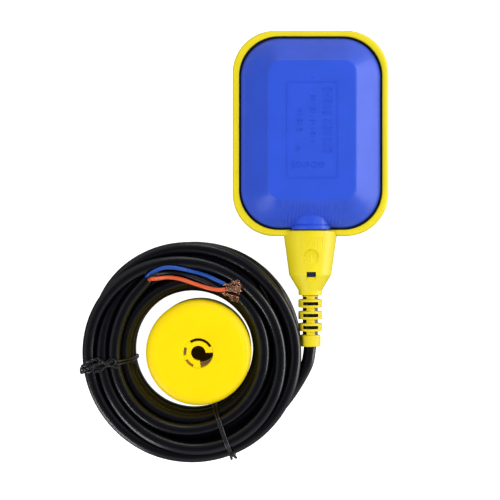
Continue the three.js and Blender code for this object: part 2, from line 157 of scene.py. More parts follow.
# ---------------------------------------------------------------- materials
def material(name, color, rough, metal=0.0, spec=0.5, coat=0.0, coat_rough=0.15, var=0.06, var_scale=90.0,
             tint=None, rough_var=0.06, rough_scale=180.0, grain=0.0, grain_scale=2600.0, wave=0.0,
             wave_scale=120.0, specks=0.0, sss=0.0, scratches=0.0):
    """Procedural plastic, rubber or metal: cloudy colour, uneven polish, moulding grain, long ripple and
    fine scratches, all in object space."""
    m = bpy.data.materials.new(name)
    m.use_nodes = True
    n, l = m.node_tree.nodes, m.node_tree.links
    b = n["Principled BSDF"]
    b.inputs["Metallic"].default_value = metal
    b.inputs["Specular IOR Level"].default_value = spec
    b.inputs["Coat Weight"].default_value = coat
    b.inputs["Coat Roughness"].default_value = coat_rough
    if sss:
        b.inputs["Subsurface Weight"].default_value = sss
        b.inputs["Subsurface Scale"].default_value = 0.001
    tcn = n.new("ShaderNodeTexCoord")

    def noise(scale, detail=3.0, rough_=0.55, distortion=0.0):
        t = n.new("ShaderNodeTexNoise")
        t.inputs["Scale"].default_value = scale
        t.inputs["Detail"].default_value = detail
        t.inputs["Roughness"].default_value = rough_
        t.inputs["Distortion"].default_value = distortion
        l.new(tcn.outputs["Object"], t.inputs["Vector"])
        return t

    c = np.array(color[:3], float)
    lo = tuple(c * (1 - var)) + (1,)
    hi = tuple(np.minimum(c * (1 + var) + (0 if tint is None else np.array(tint) * 0.5), 1.0)) + (1,)
    cloud = noise(var_scale, 4.0)
    r = n.new("ShaderNodeValToRGB")
    r.color_ramp.elements[0].position = 0.32
    r.color_ramp.elements[0].color = lo
    r.color_ramp.elements[1].position = 0.70
    r.color_ramp.elements[1].color = hi
    l.new(cloud.outputs["Fac"], r.inputs[0])
    col_out = r.outputs[0]
    if specks:
        s = noise(var_scale * 18, 2.0, 0.7)
        sr = n.new("ShaderNodeValToRGB")
        sr.color_ramp.elements[0].position = 0.66
        sr.color_ramp.elements[0].color = (0, 0, 0, 1)
        sr.color_ramp.elements[1].position = 0.78
        sr.color_ramp.elements[1].color = (1, 1, 1, 1)
        l.new(s.outputs["Fac"], sr.inputs[0])
        mx = n.new("ShaderNodeMix")
        mx.data_type = 'RGBA'
        mul = n.new("ShaderNodeMath")
        mul.operation = 'MULTIPLY'
        mul.inputs[1].default_value = specks
        l.new(sr.outputs[0], mul.inputs[0])
        l.new(mul.outputs[0], mx.inputs["Factor"])
        l.new(col_out, mx.inputs["A"])
        mx.inputs["B"].default_value = tuple(np.minimum(c * 0.5 + 0.22, 1.0)) + (1,)
        col_out = mx.outputs["Result"]
    l.new(col_out, b.inputs["Base Color"])

    rn = noise(rough_scale, 5.0, 0.6)
    mr = n.new("ShaderNodeMapRange")
    mr.inputs["From Min"].default_value = 0.3
    mr.inputs["From Max"].default_value = 0.7
    mr.inputs["To Min"].default_value = max(0.03, rough - rough_var)
    mr.inputs["To Max"].default_value = min(1.0, rough + rough_var)
    l.new(rn.outputs["Fac"], mr.inputs["Value"])
    l.new(mr.outputs["Result"], b.inputs["Roughness"])

    last = None

    def bump(height, strength, distance):
        nonlocal last
        bn = n.new("ShaderNodeBump")
        bn.inputs["Strength"].default_value = strength
        bn.inputs["Distance"].default_value = distance
        l.new(height, bn.inputs["Height"])
        if last is not None:
            l.new(last.outputs["Normal"], bn.inputs["Normal"])
        last = bn

    if wave:
        bump(noise(wave_scale, 1.5, 0.4).outputs["Fac"], 1.0, wave * MM)
    if grain:
        bump(noise(grain_scale, 2.0, 0.65).outputs["Fac"], 1.0, grain * MM)
    if scratches:
        v = n.new("ShaderNodeTexVoronoi")
        v.feature = 'DISTANCE_TO_EDGE'
        v.inputs["Scale"].default_value = 95.0
        dn = noise(40.0, 2.0)
        mixv = n.new("ShaderNodeMix")
        mixv.data_type = 'VECTOR'
        mixv.inputs["Factor"].default_value = 0.06
        l.new(tcn.outputs["Object"], mixv.inputs["A"])
        l.new(dn.outputs["Color"], mixv.inputs["B"])
        l.new(mixv.outputs["Result"], v.inputs["Vector"])
        vr = n.new("ShaderNodeValToRGB")
        vr.color_ramp.elements[0].position = 0.0
        vr.color_ramp.elements[0].color = (0, 0, 0, 1)
        vr.color_ramp.elements[1].position = 0.012
        vr.color_ramp.elements[1].color = (1, 1, 1, 1)
        l.new(v.outputs["Distance"], vr.inputs[0])
        bump(vr.outputs[0], scratches, 0.03 * MM)
    if last is not None:
        l.new(last.outputs["Normal"], b.inputs["Normal"])
    return m


M = {
    "shell_blue": material("shell_blue", (0.026, 0.081, 0.60), 0.40, spec=0.42, var=0.05, var_scale=70,
                           rough_var=0.05, grain=0.010, grain_scale=2400, wave=0.05, wave_scale=55),
    "frame_yellow": material("frame_yellow", (0.79, 0.655, 0.015), 0.40, var=0.03, var_scale=80, rough_var=0.06,
                             grain=0.010, grain_scale=2600, wave=0.04, wave_scale=70, sss=0.08),
    "boot_yellow": material("boot_yellow", (0.75, 0.60, 0.015), 0.47, var=0.04, var_scale=120, rough_var=0.07,
                            grain=0.014, grain_scale=2300, wave=0.05, wave_scale=160, sss=0.08),
    "weight_yellow": material("weight_yellow", (0.88, 0.66, 0.003), 0.36, spec=0.22, var=0.025, var_scale=60, rough_var=0.05,
                              grain=0.008, grain_scale=2800, wave=0.08, wave_scale=35, sss=0.06),
    "cable_black": material("cable_black", (0.0021, 0.0023, 0.0040), 0.24, spec=0.5, var=0.25, var_scale=140,
                            rough_var=0.05, rough_scale=90, grain=0.0006, grain_scale=900, wave=0.05,
                            wave_scale=60),
    # painted shade: the gland body, seen deep in the nose window, gets a far darker blue than the shells
    "gland_painted_shade_blue": material("gland_painted_shade_blue", (0.012, 0.020, 0.085), 0.48, spec=0.3, var=0.08, var_scale=200,
                           rough_var=0.06, grain=0.012, grain_scale=2400),
    "seal_black": material("seal_black", (0.006, 0.006, 0.007), 0.62, var=0.25, var_scale=200, rough_var=0.1,
                           grain=0.02, grain_scale=2000),
    "core_blue": material("core_blue", (0.016, 0.075, 0.36), 0.36, var=0.10, var_scale=260, rough_var=0.06,
                          grain=0.008, grain_scale=3000, wave=0.03, wave_scale=400),
    "core_brown": material("core_brown", (0.68, 0.105, 0.035), 0.38, var=0.08, var_scale=260, rough_var=0.06,
                           grain=0.008, grain_scale=3000, wave=0.03, wave_scale=400),
    "core_black": material("core_black", (0.009, 0.009, 0.010), 0.36, var=0.2, var_scale=260, rough_var=0.08,
                           grain=0.008, grain_scale=3000, wave=0.03, wave_scale=400),
    "copper": material("copper", (0.80, 0.45, 0.32), 0.24, metal=1.0, var=0.22, var_scale=900, rough_var=0.10,
                       rough_scale=1500, grain=0.010, grain_scale=6000),
    "tie_dark": material("tie_dark", (0.009, 0.009, 0.010), 0.25, spec=0.6, var=0.2, var_scale=400, rough_var=0.08,
                         rough_scale=700, grain=0.0005, grain_scale=2500, wave=0.01, wave_scale=90),
    "iron": material("iron", (0.075, 0.073, 0.072), 0.62, metal=0.75, var=0.35, var_scale=260, rough_var=0.12,
                     grain=0.09, grain_scale=1300, wave=0.25, wave_scale=260, specks=0.25),
    "capsule_white": material("capsule_white", (0.78, 0.77, 0.71), 0.45, var=0.03, var_scale=90, rough_var=0.06,
                              grain=0.012, grain_scale=2500, wave=0.05, wave_scale=80, sss=0.05),
    "inner_grey": material("inner_grey", (0.36, 0.38, 0.40), 0.48, var=0.05, var_scale=120, rough_var=0.07,
                           grain=0.014, grain_scale=2300, wave=0.04, wave_scale=120),
    "switch_dark": material("switch_dark", (0.022, 0.024, 0.028), 0.46, var=0.15, var_scale=200, rough_var=0.08,
                            grain=0.016, grain_scale=2300, specks=0.04),
    "button_red": material("button_red", (0.50, 0.020, 0.012), 0.38, var=0.08, var_scale=300, rough_var=0.06,
                           grain=0.010, grain_scale=2600),
    "steel": material("steel", (0.60, 0.61, 0.63), 0.19, metal=1.0, var=0.06, var_scale=260, rough_var=0.07,
                      rough_scale=600, grain=0.004, grain_scale=4000, scratches=0.25),
    "brass": material("brass", (0.72, 0.47, 0.14), 0.28, metal=1.0, var=0.12, var_scale=260, rough_var=0.08,
                      rough_scale=500, grain=0.006, grain_scale=3500, scratches=0.3),
}
slot_of = {s["node"]: s["material_slot"] for s in frame["record"]["subparts"]}


# ---------------------------------------------------------------- mesh helpers
def make(name, verts, faces, slot, sharp=32.0, mats=None):
    """Mesh object from millimetre vertices, consistently turned outwards, smooth with sharp edges marked."""
    me = bpy.data.meshes.new(name)
    me.from_pydata([(v[0] * MM, v[1] * MM, v[2] * MM) for v in verts], [], faces)
    me.update()
    bm = bmesh.new()
    bm.from_mesh(me)
    bmesh.ops.remove_doubles(bm, verts=bm.verts, dist=1e-7)
    bmesh.ops.recalc_face_normals(bm, faces=bm.faces)
    bm.to_mesh(me)
    bm.free()
    o = bpy.data.objects.new(name, me)
    coll.objects.link(o)
    finish_mesh(o, slot, sharp)
    return o


def finish_mesh(o, slot, sharp=32.0):
    o.data.materials.clear()
    o.data.materials.append(M[slot])
    for p in o.data.polygons:
        p.use_smooth = True
        p.material_index = 0
    if sharp is not None:
        o.data.set_sharp_from_angle(angle=math.radians(sharp))


def boolean(o, other, op='DIFFERENCE'):
    """Cuts or joins other into o and removes other."""
    m = o.modifiers.new("b", 'BOOLEAN')
    m.operation = op
    m.object = other
    try:
        m.solver = 'MANIFOLD'
    except TypeError:
        m.solver = 'EXACT'
    before = len(o.data.polygons)
    dg = bpy.context.evaluated_depsgraph_get()
    me = bpy.data.meshes.new_from_object(o.evaluated_get(dg))
    if len(me.polygons) < 4 or (len(me.polygons) == before and op == 'DIFFERENCE'):
        m.solver = 'EXACT'
        dg = bpy.context.evaluated_depsgraph_get()
        me = bpy.data.meshes.new_from_object(o.evaluated_get(dg))
    o.modifiers.clear()
    old = o.data
    o.data = me
    bpy.data.meshes.remove(old)
    bpy.data.objects.remove(other)
    return o


def grid_faces(rows, cols, close_u=True, close_v=False):
    f = []
    for i in range(rows if close_v else rows - 1):
        j2 = (i + 1) % rows
        for k in range(cols if close_u else cols - 1):
            k2 = (k + 1) % cols
            f.append((i * cols + k, i * cols + k2, j2 * cols + k2, j2 * cols + k))
    return f


def loft(name, rows, slot, caps=(True, True), close_v=False, sharp=32.0):
    """Closed rings of equal length joined by quads, ends capped."""
    rows = [np.asarray(r, float) for r in rows]
    c = len(rows[0])
    verts = [tuple(v) for r in rows for v in r]
    faces = grid_faces(len(rows), c, True, close_v)
    if not close_v:
        if caps[0]:
            faces.append(tuple(range(c))[::-1])
        if caps[1]:
            faces.append(tuple(range((len(rows) - 1) * c, len(rows) * c)))
    return make(name, verts, faces, slot, sharp)


def revolve(name, profile, centre, axis, slot, seg=96, sharp=32.0, closed=True):
    """profile of (radius, height) turned about an axis through centre ('z' or 'y')."""
    prof = [tuple(p) for p in profile]
    verts, faces = [], []
    for r, h in prof:
        for k in range(seg):
            a = 2 * math.pi * k / seg
            if axis == 'z':
                verts.append((centre[0] + r * math.cos(a), centre[1] + r * math.sin(a), h))
            else:
                verts.append((centre[0] + r * math.cos(a), h, centre[1] + r * math.sin(a)))
    n = len(prof)
    faces = grid_faces(n, seg, True, closed)
    if not closed:
        faces.append(tuple(range(seg))[::-1])
        faces.append(tuple(range((n - 1) * seg, n * seg)))
    return make(name, verts, faces, slot, sharp)


def block(name, x0, x1, y0, y1, z0, z1):
    v = [(x, y, z) for z in (z0, z1) for y in (y0, y1) for x in (x0, x1)]
    f = [(0, 2, 3, 1), (4, 5, 7, 6), (0, 1, 5, 4), (2, 6, 7, 3), (0, 4, 6, 2), (1, 3, 7, 5)]
    return make(name, v, f, "shell_blue")


def rounded(points, radii, steps=5):
    """Polyline profile with its inner corners rounded: radii per point, 0 keeps the corner."""
    out = []
    n = len(points)
    for i, p in enumerate(points):
        r = radii[i]
        if r <= 0 or i in (0, n - 1):
            out.append(tuple(p))
            continue
        a, b, c = (np.array(q, float) for q in (points[i - 1], p, points[i + 1]))
        u, v = (a - b) / np.linalg.norm(a - b), (c - b) / np.linalg.norm(c - b)
        cosang = float(np.clip(u @ v, -1, 1))
        half = math.acos(cosang) / 2
        d = min(r / max(math.tan(half), 1e-6), 0.48 * np.linalg.norm(a - b), 0.48 * np.linalg.norm(c - b))
        s, e = b + u * d, b + v * d
        for k in range(steps + 1):
            t = k / steps
            out.append(tuple((1 - t) ** 2 * s + 2 * t * (1 - t) * b + t * t * e))
    return out


def smoothstep(a, b, x):
    t = np.clip((x - a) / (b - a), 0, 1)
    return t * t * (3 - 2 * t)


def spline(points, step):
    """Centripetal Catmull-Rom through the points, resampled to even steps."""
    p = np.array(points, float)
    p = np.vstack([2 * p[0] - p[1], p, 2 * p[-1] - p[-2]])
    fine = []
    for i in range(1, len(p) - 2):
        p0, p1, p2, p3 = p[i - 1], p[i], p[i + 1], p[i + 2]
        t0 = 0.0
        t1 = t0 + np.linalg.norm(p1 - p0) ** 0.5
        t2 = t1 + np.linalg.norm(p2 - p1) ** 0.5
        t3 = t2 + np.linalg.norm(p3 - p2) ** 0.5
        n = max(4, int(np.linalg.norm(p2 - p1) / (step * 0.34)))
        for t in np.linspace(t1, t2, n, endpoint=False):
            a1 = (t1 - t) / (t1 - t0) * p0 + (t - t0) / (t1 - t0) * p1
            a2 = (t2 - t) / (t2 - t1) * p1 + (t - t1) / (t2 - t1) * p2
            a3 = (t3 - t) / (t3 - t2) * p2 + (t - t2) / (t3 - t2) * p3
            b1 = (t2 - t) / (t2 - t0) * a1 + (t - t0) / (t2 - t0) * a2
            b2 = (t3 - t) / (t3 - t1) * a2 + (t - t1) / (t3 - t1) * a3
            fine.append((t2 - t) / (t2 - t1) * b1 + (t - t1) / (t2 - t1) * b2)
    fine.append(p[-2])
    fine = np.array(fine)
    s = np.r_[0, np.cumsum(np.linalg.norm(np.diff(fine, axis=0), axis=1))]
    m = max(2, int(round(s[-1] / step)))
    u = np.linspace(0, s[-1], m + 1)
    return np.stack([np.interp(u, s, fine[:, k]) for k in range(3)], 1)


def frames(path):
    """Tangent, normal and binormal along a path, without twist."""
    t = np.gradient(path, axis=0)
    t /= np.linalg.norm(t, axis=1)[:, None]
    ref = np.array([0, 0, 1.0]) if abs(t[0][2]) < 0.9 else np.array([1.0, 0, 0])
    nrm = np.cross(np.cross(t[0], ref), t[0])
    nrm /= np.linalg.norm(nrm)
    ns = [nrm]
    for i in range(1, len(path)):
        v = ns[-1] - t[i] * (ns[-1] @ t[i])
        ns.append(v / np.linalg.norm(v))
    ns = np.array(ns)
    return t, ns, np.cross(t, ns)


def tube_rows(path, radius, sides, twist=0.0):
    """Rings along the path; radius is a number or one per point."""
    t, n, b = frames(path)
    rad = np.broadcast_to(radius, (len(path),))
    a = np.arange(sides) * 2 * math.pi / sides
    rows = []
    for i, p in enumerate(path):
        aa = a + twist * i
        rows.append(p + rad[i] * (np.cos(aa)[:, None] * n[i] + np.sin(aa)[:, None] * b[i]))
    return rows


def tube(name, path, radius, sides, slot, round_ends=True, sharp=50.0):
    rows = tube_rows(path, radius, sides)
    r0 = float(np.broadcast_to(radius, (len(path),))[0])
    r1 = float(np.broadcast_to(radius, (len(path),))[-1])
    t, n, b = frames(path)
    a = np.arange(sides) * 2 * math.pi / sides
    ring = lambda i, r, off: path[i] + t[i] * off + r * (np.cos(a)[:, None] * n[i] + np.sin(a)[:, None] * b[i])
    if round_ends:
        head = [ring(0, r0 * k, -r0 * o) for k, o in ((0.35, 0.22), (0.72, 0.17), (0.93, 0.08))]
        tail = [ring(-1, r1 * k, r1 * o) for k, o in ((0.93, 0.08), (0.72, 0.17), (0.35, 0.22))]
        rows = head + rows + tail
    return loft(name, rows, slot, sharp=sharp)


def join(name, objs, slot, sharp=40.0):
    """One object from several separate closed meshes."""
    bm = bmesh.new()
    for o in objs:
        bm.from_mesh(o.data)
    me = bpy.data.meshes.new(name)
    bm.to_mesh(me)
    bm.free()
    for o in objs:
        bpy.data.objects.remove(o)
    j = bpy.data.objects.new(name, me)
    coll.objects.link(j)
    finish_mesh(j, slot, sharp)
    return j


ROUTE = [
    [0,-110.8,21], [-1.41,-119.32,20.72], [-5.04,-127.12,19.55], [-9.57,-134.72,18.13], [-14.68,-141.78,16.74],
    [-20.38,-148.37,15.68], [-26.67,-154.34,14.93], [-33.66,-159.43,14.58], [-41.39,-163.24,14.5],
    [-49.61,-165.8,14.53], [-58.12,-167.06,14.57], [-66.73,-166.86,14.61], [-75.19,-165.32,14.63],
    [-83.28,-162.41,14.62], [-90.81,-158.15,14.62], [-97.64,-152.84,14.63], [-103.61,-146.55,14.54],
    [-108.56,-139.47,14.51], [-112.23,-131.69,14.49], [-114.47,-123.37,14.49], [-115.25,-114.75,14.48],
    [-114.65,-106.1,14.48], [-112.69,-97.65,14.44], [-109.45,-89.57,14.51], [-104.95,-82.16,14.62],
    [-99.25,-75.59,14.76], [-92.61,-69.95,14.93], [-85.16,-65.39,15.14], [-77.06,-62.07,15.37],
    [-68.52,-60.07,15.61], [-59.76,-59.46,15.84], [-51.02,-60.26,15.99], [-42.56,-62.47,15.99], [-34.6,-66.02,15.87],
    [-27.35,-70.88,15.3], [-21,-76.93,14.1], [-16.15,-84.1,12.86], [-12.45,-91.83,11.6], [-10.14,-100.19,10.67],
    [-9.23,-108.83,10.07], [-9.7,-117.54,9.69], [-11.54,-126.09,9.41], [-14.7,-134.26,9.17], [-19.15,-141.8,8.99],
    [-24.81,-148.48,8.95], [-31.49,-154.15,8.95], [-38.97,-158.66,8.95], [-47.09,-161.85,8.91],
    [-55.62,-163.59,8.89], [-64.32,-163.77,8.83], [-72.94,-162.43,8.86], [-81.22,-159.67,8.93], [-88.9,-155.56,8.98],
    [-95.76,-150.22,9], [-101.6,-143.81,8.96], [-106.22,-136.48,8.91], [-109.49,-128.44,8.9], [-111.38,-119.96,8.9],
    [-111.83,-111.29,8.95], [-110.71,-102.69,8.96], [-108.15,-94.41,8.92], [-104.17,-86.68,8.94], [-98.9,-79.72,9],
    [-92.54,-73.73,9.12], [-85.21,-68.94,9.25], [-77.2,-65.38,9.41], [-68.72,-63.17,9.61], [-59.98,-62.35,9.83],
    [-51.23,-62.88,9.95], [-42.67,-64.69,9.87], [-34.51,-67.74,9.66], [-26.99,-71.74,8.93], [-20.52,-77.41,7.68],
    [-15.31,-84.37,6.37], [-11.33,-92.03,5.21], [-8.62,-100.27,4.36], [-7.32,-108.88,3.86], [-7.44,-117.61,3.6],
    [-8.94,-126.23,3.46], [-11.76,-134.51,3.37], [-15.8,-142.25,3.34], [-21.07,-149.19,3.35], [-27.39,-155.19,3.37],
    [-34.54,-160.13,3.39], [-42.41,-163.77,3.38], [-50.77,-166.1,3.33], [-59.38,-167.16,3.28], [-68.04,-166.72,3.27],
    [-76.52,-164.93,3.27], [-84.65,-161.92,3.29], [-92.15,-157.61,3.31], [-98.84,-152.16,3.33],
    [-104.53,-145.66,3.34], [-109.09,-138.3,3.34], [-112.48,-130.32,3.34], [-114.49,-121.89,3.34],
    [-115.13,-113.25,3.33], [-114.51,-104.61,3.32], [-112.35,-96.23,3.3], [-108.95,-88.26,3.29],
    [-104.37,-80.88,3.27], [-98.57,-74.42,3.27], [-91.85,-68.92,3.27], [-84.34,-64.53,3.27], [-76.21,-61.45,3.27],
    [-67.7,-59.69,3.3], [-59.04,-59.32,3.32], [-50.5,-60.56,3.32], [-42.34,-63.26,3.31], [-35.04,-67.76,3.27],
    [-28.59,-73.73,3.27], [-23.62,-80.72,3.27], [-19.48,-88.36,3.27], [-16.32,-96.54,3.28], [-14.5,-105.09,3.29],
    [-13.93,-113.78,3.29], [-14.73,-122.4,3.27], [-17.17,-130.68,3.27], [-21.02,-138.41,3.27], [-26.25,-145.26,3.27],
    [-32.63,-151.09,3.27], [-39.94,-155.68,3.27], [-48,-158.8,3.27], [-56.5,-160.49,3.27], [-65.12,-160.52,3.27],
    [-73.63,-159.11,3.27], [-81.73,-156.13,3.27], [-89.14,-151.66,3.28], [-95.74,-146.04,3.27],
    [-101.05,-139.21,3.27], [-105.13,-131.57,3.27], [-107.67,-123.3,3.27], [-108.71,-114.7,3.27],
    [-108.2,-106.05,3.27], [-106.01,-97.64,3.27], [-102.47,-89.72,3.29], [-97.46,-82.66,3.28], [-91.26,-76.58,3.27],
    [-84.11,-71.67,3.27], [-76.11,-68.25,3.27], [-67.69,-66.19,3.27], [-59.07,-65.82,3.27], [-50.62,-67.13,3.27],
    [-42.69,-70.35,3.27], [-35.78,-75.36,3.27], [-30.22,-82.06,3.27], [-25.81,-89.67,3.27], [-22.68,-97.84,3.27],
    [-20.86,-106.49,3.27], [-20.31,-115.24,3.27], [-21.71,-123.8,3.27], [-24.7,-131.94,3.27], [-29.48,-139.14,3.27],
    [-35.57,-145.32,3.27], [-42.85,-149.92,3.27], [-50.92,-153.02,3.27], [-59.45,-154.24,3.27],
    [-68.21,-153.74,3.27], [-76.55,-151.37,3.27], [-84.25,-147.33,3.27], [-90.86,-141.82,3.27],
    [-96.17,-134.93,3.27], [-99.95,-127.1,3.27], [-101.93,-118.58,3.27], [-102.2,-109.92,3.27],
    [-100.48,-101.39,3.27], [-97.13,-93.33,3.27], [-92.08,-86.24,3.27], [-85.66,-80.31,3.27], [-78.17,-75.89,3.27],
    [-69.86,-73.2,3.27], [-61.23,-72.18,3.27], [-52.75,-73.26,3.27], [-44.83,-76.38,3.27], [-38.08,-81.88,3.27],
    [-33.2,-89.15,3.27], [-29.63,-97.3,3.27], [-27.4,-105.91,3.27], [-26.69,-114.71,3.29], [-28.15,-123.36,3.3],
    [-31.69,-131.29,3.32], [-37.05,-138.07,3.3], [-44,-143.32,3.27], [-51.96,-146.67,3.27], [-60.61,-147.94,3.27],
    [-69.21,-147.02,3.27], [-77.41,-143.99,3.27], [-84.5,-139.04,3.27], [-90.18,-132.49,3.27], [-94.03,-124.67,3.32],
    [-95.84,-116.21,3.33], [-95.45,-107.5,3.3], [-92.99,-99.29,3.27], [-88.52,-91.88,3.27], [-82.48,-85.88,3.27],
    [-75.11,-81.53,3.27], [-67.01,-79.11,3.32], [-58.54,-78.76,3.56], [-50.28,-80.55,4.5], [-42.75,-84.21,6.82],
    [-36.19,-89.47,8.88], [-30.8,-96.19,9.46], [-27.13,-103.87,9.62], [-25.51,-112.11,9.67], [-25.94,-120.49,9.62],
    [-28.33,-128.51,9.55], [-32.53,-135.74,9.5], [-38.26,-141.81,9.45], [-45.24,-146.37,9.4], [-53.09,-149.17,9.35],
    [-61.37,-150.1,9.36], [-69.66,-149.1,9.4], [-77.5,-146.23,9.38], [-84.49,-141.64,9.39], [-90.28,-135.6,9.46],
    [-94.52,-128.4,9.52], [-96.98,-120.4,9.54], [-97.53,-112.03,9.56], [-96.19,-103.71,9.57], [-93.06,-95.84,9.56],
    [-88.31,-88.83,9.48], [-82.13,-83.07,9.31], [-74.81,-78.84,9.18], [-66.73,-76.34,9.18], [-58.29,-75.57,9.16],
    [-49.76,-76.33,9.19], [-41.46,-78.72,9.46], [-33.98,-83.08,9.53], [-27.91,-89.06,9.46], [-22.96,-96.09,9.6],
    [-19.55,-103.8,9.48], [-18.08,-112.18,9.32], [-18.49,-120.7,9.21], [-20.64,-129,9.09], [-24.36,-136.77,9.06],
    [-29.53,-143.63,9.03], [-35.92,-149.34,8.95], [-43.38,-153.6,8.87], [-51.55,-156.29,8.85], [-60.15,-157.28,8.96],
    [-68.79,-156.62,9.04], [-77.15,-154.35,8.97], [-84.88,-150.45,8.92], [-91.73,-145.13,8.9], [-97.4,-138.56,8.96],
    [-101.66,-131,8.95], [-104.39,-122.78,8.89], [-105.37,-114.17,8.82], [-104.72,-105.5,8.86],
    [-102.29,-97.16,8.95], [-98.28,-89.41,8.95], [-92.83,-82.65,8.93], [-86.12,-77.08,8.9], [-78.51,-72.8,8.94],
    [-70.23,-70.07,8.92], [-61.6,-68.94,8.92], [-52.89,-69.3,9.09], [-44.44,-71.02,9.44], [-36.35,-74.07,9.8],
    [-29.17,-78.97,10.61], [-23.27,-85.23,11.85], [-18.81,-92.63,13.12], [-15.72,-100.75,13.93],
    [-14.14,-109.37,14.27], [-14.18,-118.12,14.35], [-15.87,-126.7,14.38], [-19.18,-134.83,14.41],
    [-23.83,-142.24,14.45], [-29.76,-148.64,14.5], [-36.81,-153.77,14.53], [-44.6,-157.61,14.5],
    [-52.97,-159.89,14.49], [-61.62,-160.68,14.47], [-70.23,-159.87,14.49], [-78.52,-157.41,14.53],
    [-86.23,-153.55,14.55], [-93.05,-148.23,14.56], [-98.94,-141.87,14.55], [-103.56,-134.58,14.53],
    [-106.77,-126.59,14.51], [-108.45,-118.17,14.52], [-108.52,-109.56,14.55], [-107.02,-101.08,14.58],
    [-103.96,-93.05,14.61], [-99.51,-85.7,14.61], [-93.8,-79.3,14.6], [-87.05,-73.98,14.63], [-79.46,-70.01,14.73],
    [-71.25,-67.55,14.81], [-62.72,-66.51,14.84], [-54.13,-66.91,15], [-45.69,-68.72,15.39], [-37.69,-71.86,15.89],
    [-30.37,-76.36,16.58], [-23.71,-81.63,17.56], [-18.25,-88.05,18.59], [-14.47,-95.5,19.38], [-12.1,-103.53,19.9],
    [-11.28,-111.92,20.21], [-12.02,-120.37,20.3], [-14.14,-128.63,20.38], [-17.58,-136.42,20.51],
    [-22.29,-143.48,20.63], [-28.16,-149.58,20.7], [-35.03,-154.66,20.69], [-42.68,-158.56,20.63],
    [-50.84,-161.19,20.67], [-59.27,-162.4,20.68], [-67.8,-162.11,20.7], [-76.18,-160.46,20.65],
    [-84.15,-157.43,20.55], [-91.45,-153.07,20.44], [-97.83,-147.49,20.37], [-103.11,-140.84,20.38],
    [-107.2,-133.37,20.37], [-110.01,-125.28,20.32], [-111.59,-116.81,20.29], [-112,-108.19,20.33],
    [-111.24,-99.6,20.48], [-109.2,-91.29,20.76], [-105.77,-83.48,21.12], [-100.94,-76.46,21.76],
    [-94.85,-70.55,22.68], [-87.76,-65.85,23.73], [-79.91,-62.34,24.62], [-71.58,-60.24,25.39],
    [-62.99,-59.59,25.93], [-54.39,-60.34,26.29], [-46.01,-62.46,26.5], [-38.08,-65.92,26.57], [-30.72,-70.64,26.51],
    [-24.29,-76.47,26.28], [-18.66,-83.11,26.14], [-14.03,-90.48,26.03], [-10.62,-98.46,25.96], [-8.6,-106.88,25.9],
    [-8.07,-115.52,25.84], [-9.03,-124.15,25.74], [-11.37,-132.51,25.59], [-14.99,-140.41,25.4],
    [-19.83,-147.61,25.12], [-25.75,-153.96,24.84], [-32.61,-159.24,24.58], [-40.25,-163.27,24.37],
    [-48.46,-166.01,24.31], [-57.01,-167.43,24.43], [-65.65,-167.43,24.67], [-74.17,-166.06,24.84],
    [-82.37,-163.35,25.05], [-90.02,-159.26,25.27], [-96.93,-154.05,25.4], [-102.87,-147.78,25.52],
    [-107.78,-140.67,25.59], [-111.49,-132.86,25.62], [-113.93,-124.59,25.72], [-115.01,-116.05,25.92],
    [-114.65,-107.48,26.27], [-112.81,-99.14,26.77], [-109.52,-91.3,27.36], [-104.86,-84.2,27.93],
    [-99.01,-78.07,28.39], [-92.15,-73.11,28.65], [-84.52,-69.49,28.66], [-76.36,-67.31,28.45],
    [-67.93,-66.56,28.13], [-59.48,-67.18,27.87], [-51.22,-69.14,27.76], [-43.37,-72.37,27.88],
    [-36.14,-76.83,28.17], [-29.82,-82.46,28.74], [-24.36,-88.97,28.6], [-20.16,-96.28,28.21],
    [-17.33,-104.19,27.85], [-15.89,-112.44,27.64], [-15.81,-120.81,27.66], [-17.12,-129.05,27.9],
    [-19.84,-136.9,28.29], [-23.93,-144.1,28.74], [-29.28,-150.42,29.15], [-35.73,-155.62,29.44],
    [-43.06,-159.51,29.57], [-51.01,-161.95,29.51], [-59.29,-162.85,29.26], [-67.62,-162.18,28.85],
    [-75.68,-159.94,28.33], [-83.27,-156.42,27.68], [-90.13,-151.67,27.07], [-96.13,-145.81,26.6],
    [-101.03,-139.01,26.29], [-104.76,-131.5,26.09], [-107.11,-123.46,25.85], [-108.15,-115.15,25.57],
    [-107.81,-106.79,25.21], [-106.06,-98.61,24.73], [-103.01,-90.79,24.07], [-98.69,-83.61,23.3],
    [-93.03,-77.43,22.46], [-86.37,-72.11,21.65], [-79.12,-67.89,21.25], [-71.19,-65.11,21.07], [-62.9,-63.93,21.1],
    [-54.57,-64.46,21.27], [-46.53,-66.66,21.58], [-39.12,-70.46,22.09], [-32.66,-75.72,22.7], [-27.54,-82.4,22.7],
    [-23.35,-89.72,22.24], [-20.31,-97.62,21.82], [-18.53,-105.9,21.6], [-18.13,-114.33,21.39],
    [-19.24,-122.65,21.22], [-21.94,-130.59,21.06], [-26.17,-137.85,20.95], [-31.75,-144.13,20.86],
    [-38.49,-149.18,20.8], [-46.02,-152.98,20.77], [-54.11,-155.29,20.77], [-62.49,-155.99,20.75],
    [-70.85,-155.17,20.76], [-78.83,-152.72,20.69], [-86.14,-148.74,20.61], [-92.45,-143.37,20.58],
    [-97.5,-136.79,20.59], [-101.13,-129.31,20.62], [-103.22,-121.24,20.64], [-103.73,-112.91,20.67],
    [-102.62,-104.62,20.71], [-99.91,-96.71,20.73], [-95.67,-89.46,20.71], [-90.17,-83.04,20.74],
    [-83.56,-77.83,20.75], [-76.09,-73.82,20.85], [-67.98,-71.42,20.95], [-59.58,-70.8,21.04], [-51.26,-71.91,20.93],
    [-43.39,-74.96,20.31], [-36.39,-79.45,19.04], [-30.36,-85.31,17.66], [-25.55,-92.27,16.54],
    [-22.34,-100.16,15.82], [-20.55,-108.52,15.41], [-20.5,-117.06,15.22], [-22.2,-125.48,15.07],
    [-25.53,-133.32,14.94], [-30.57,-140.3,14.72], [-36.85,-146.18,14.54], [-44.38,-150.48,14.48],
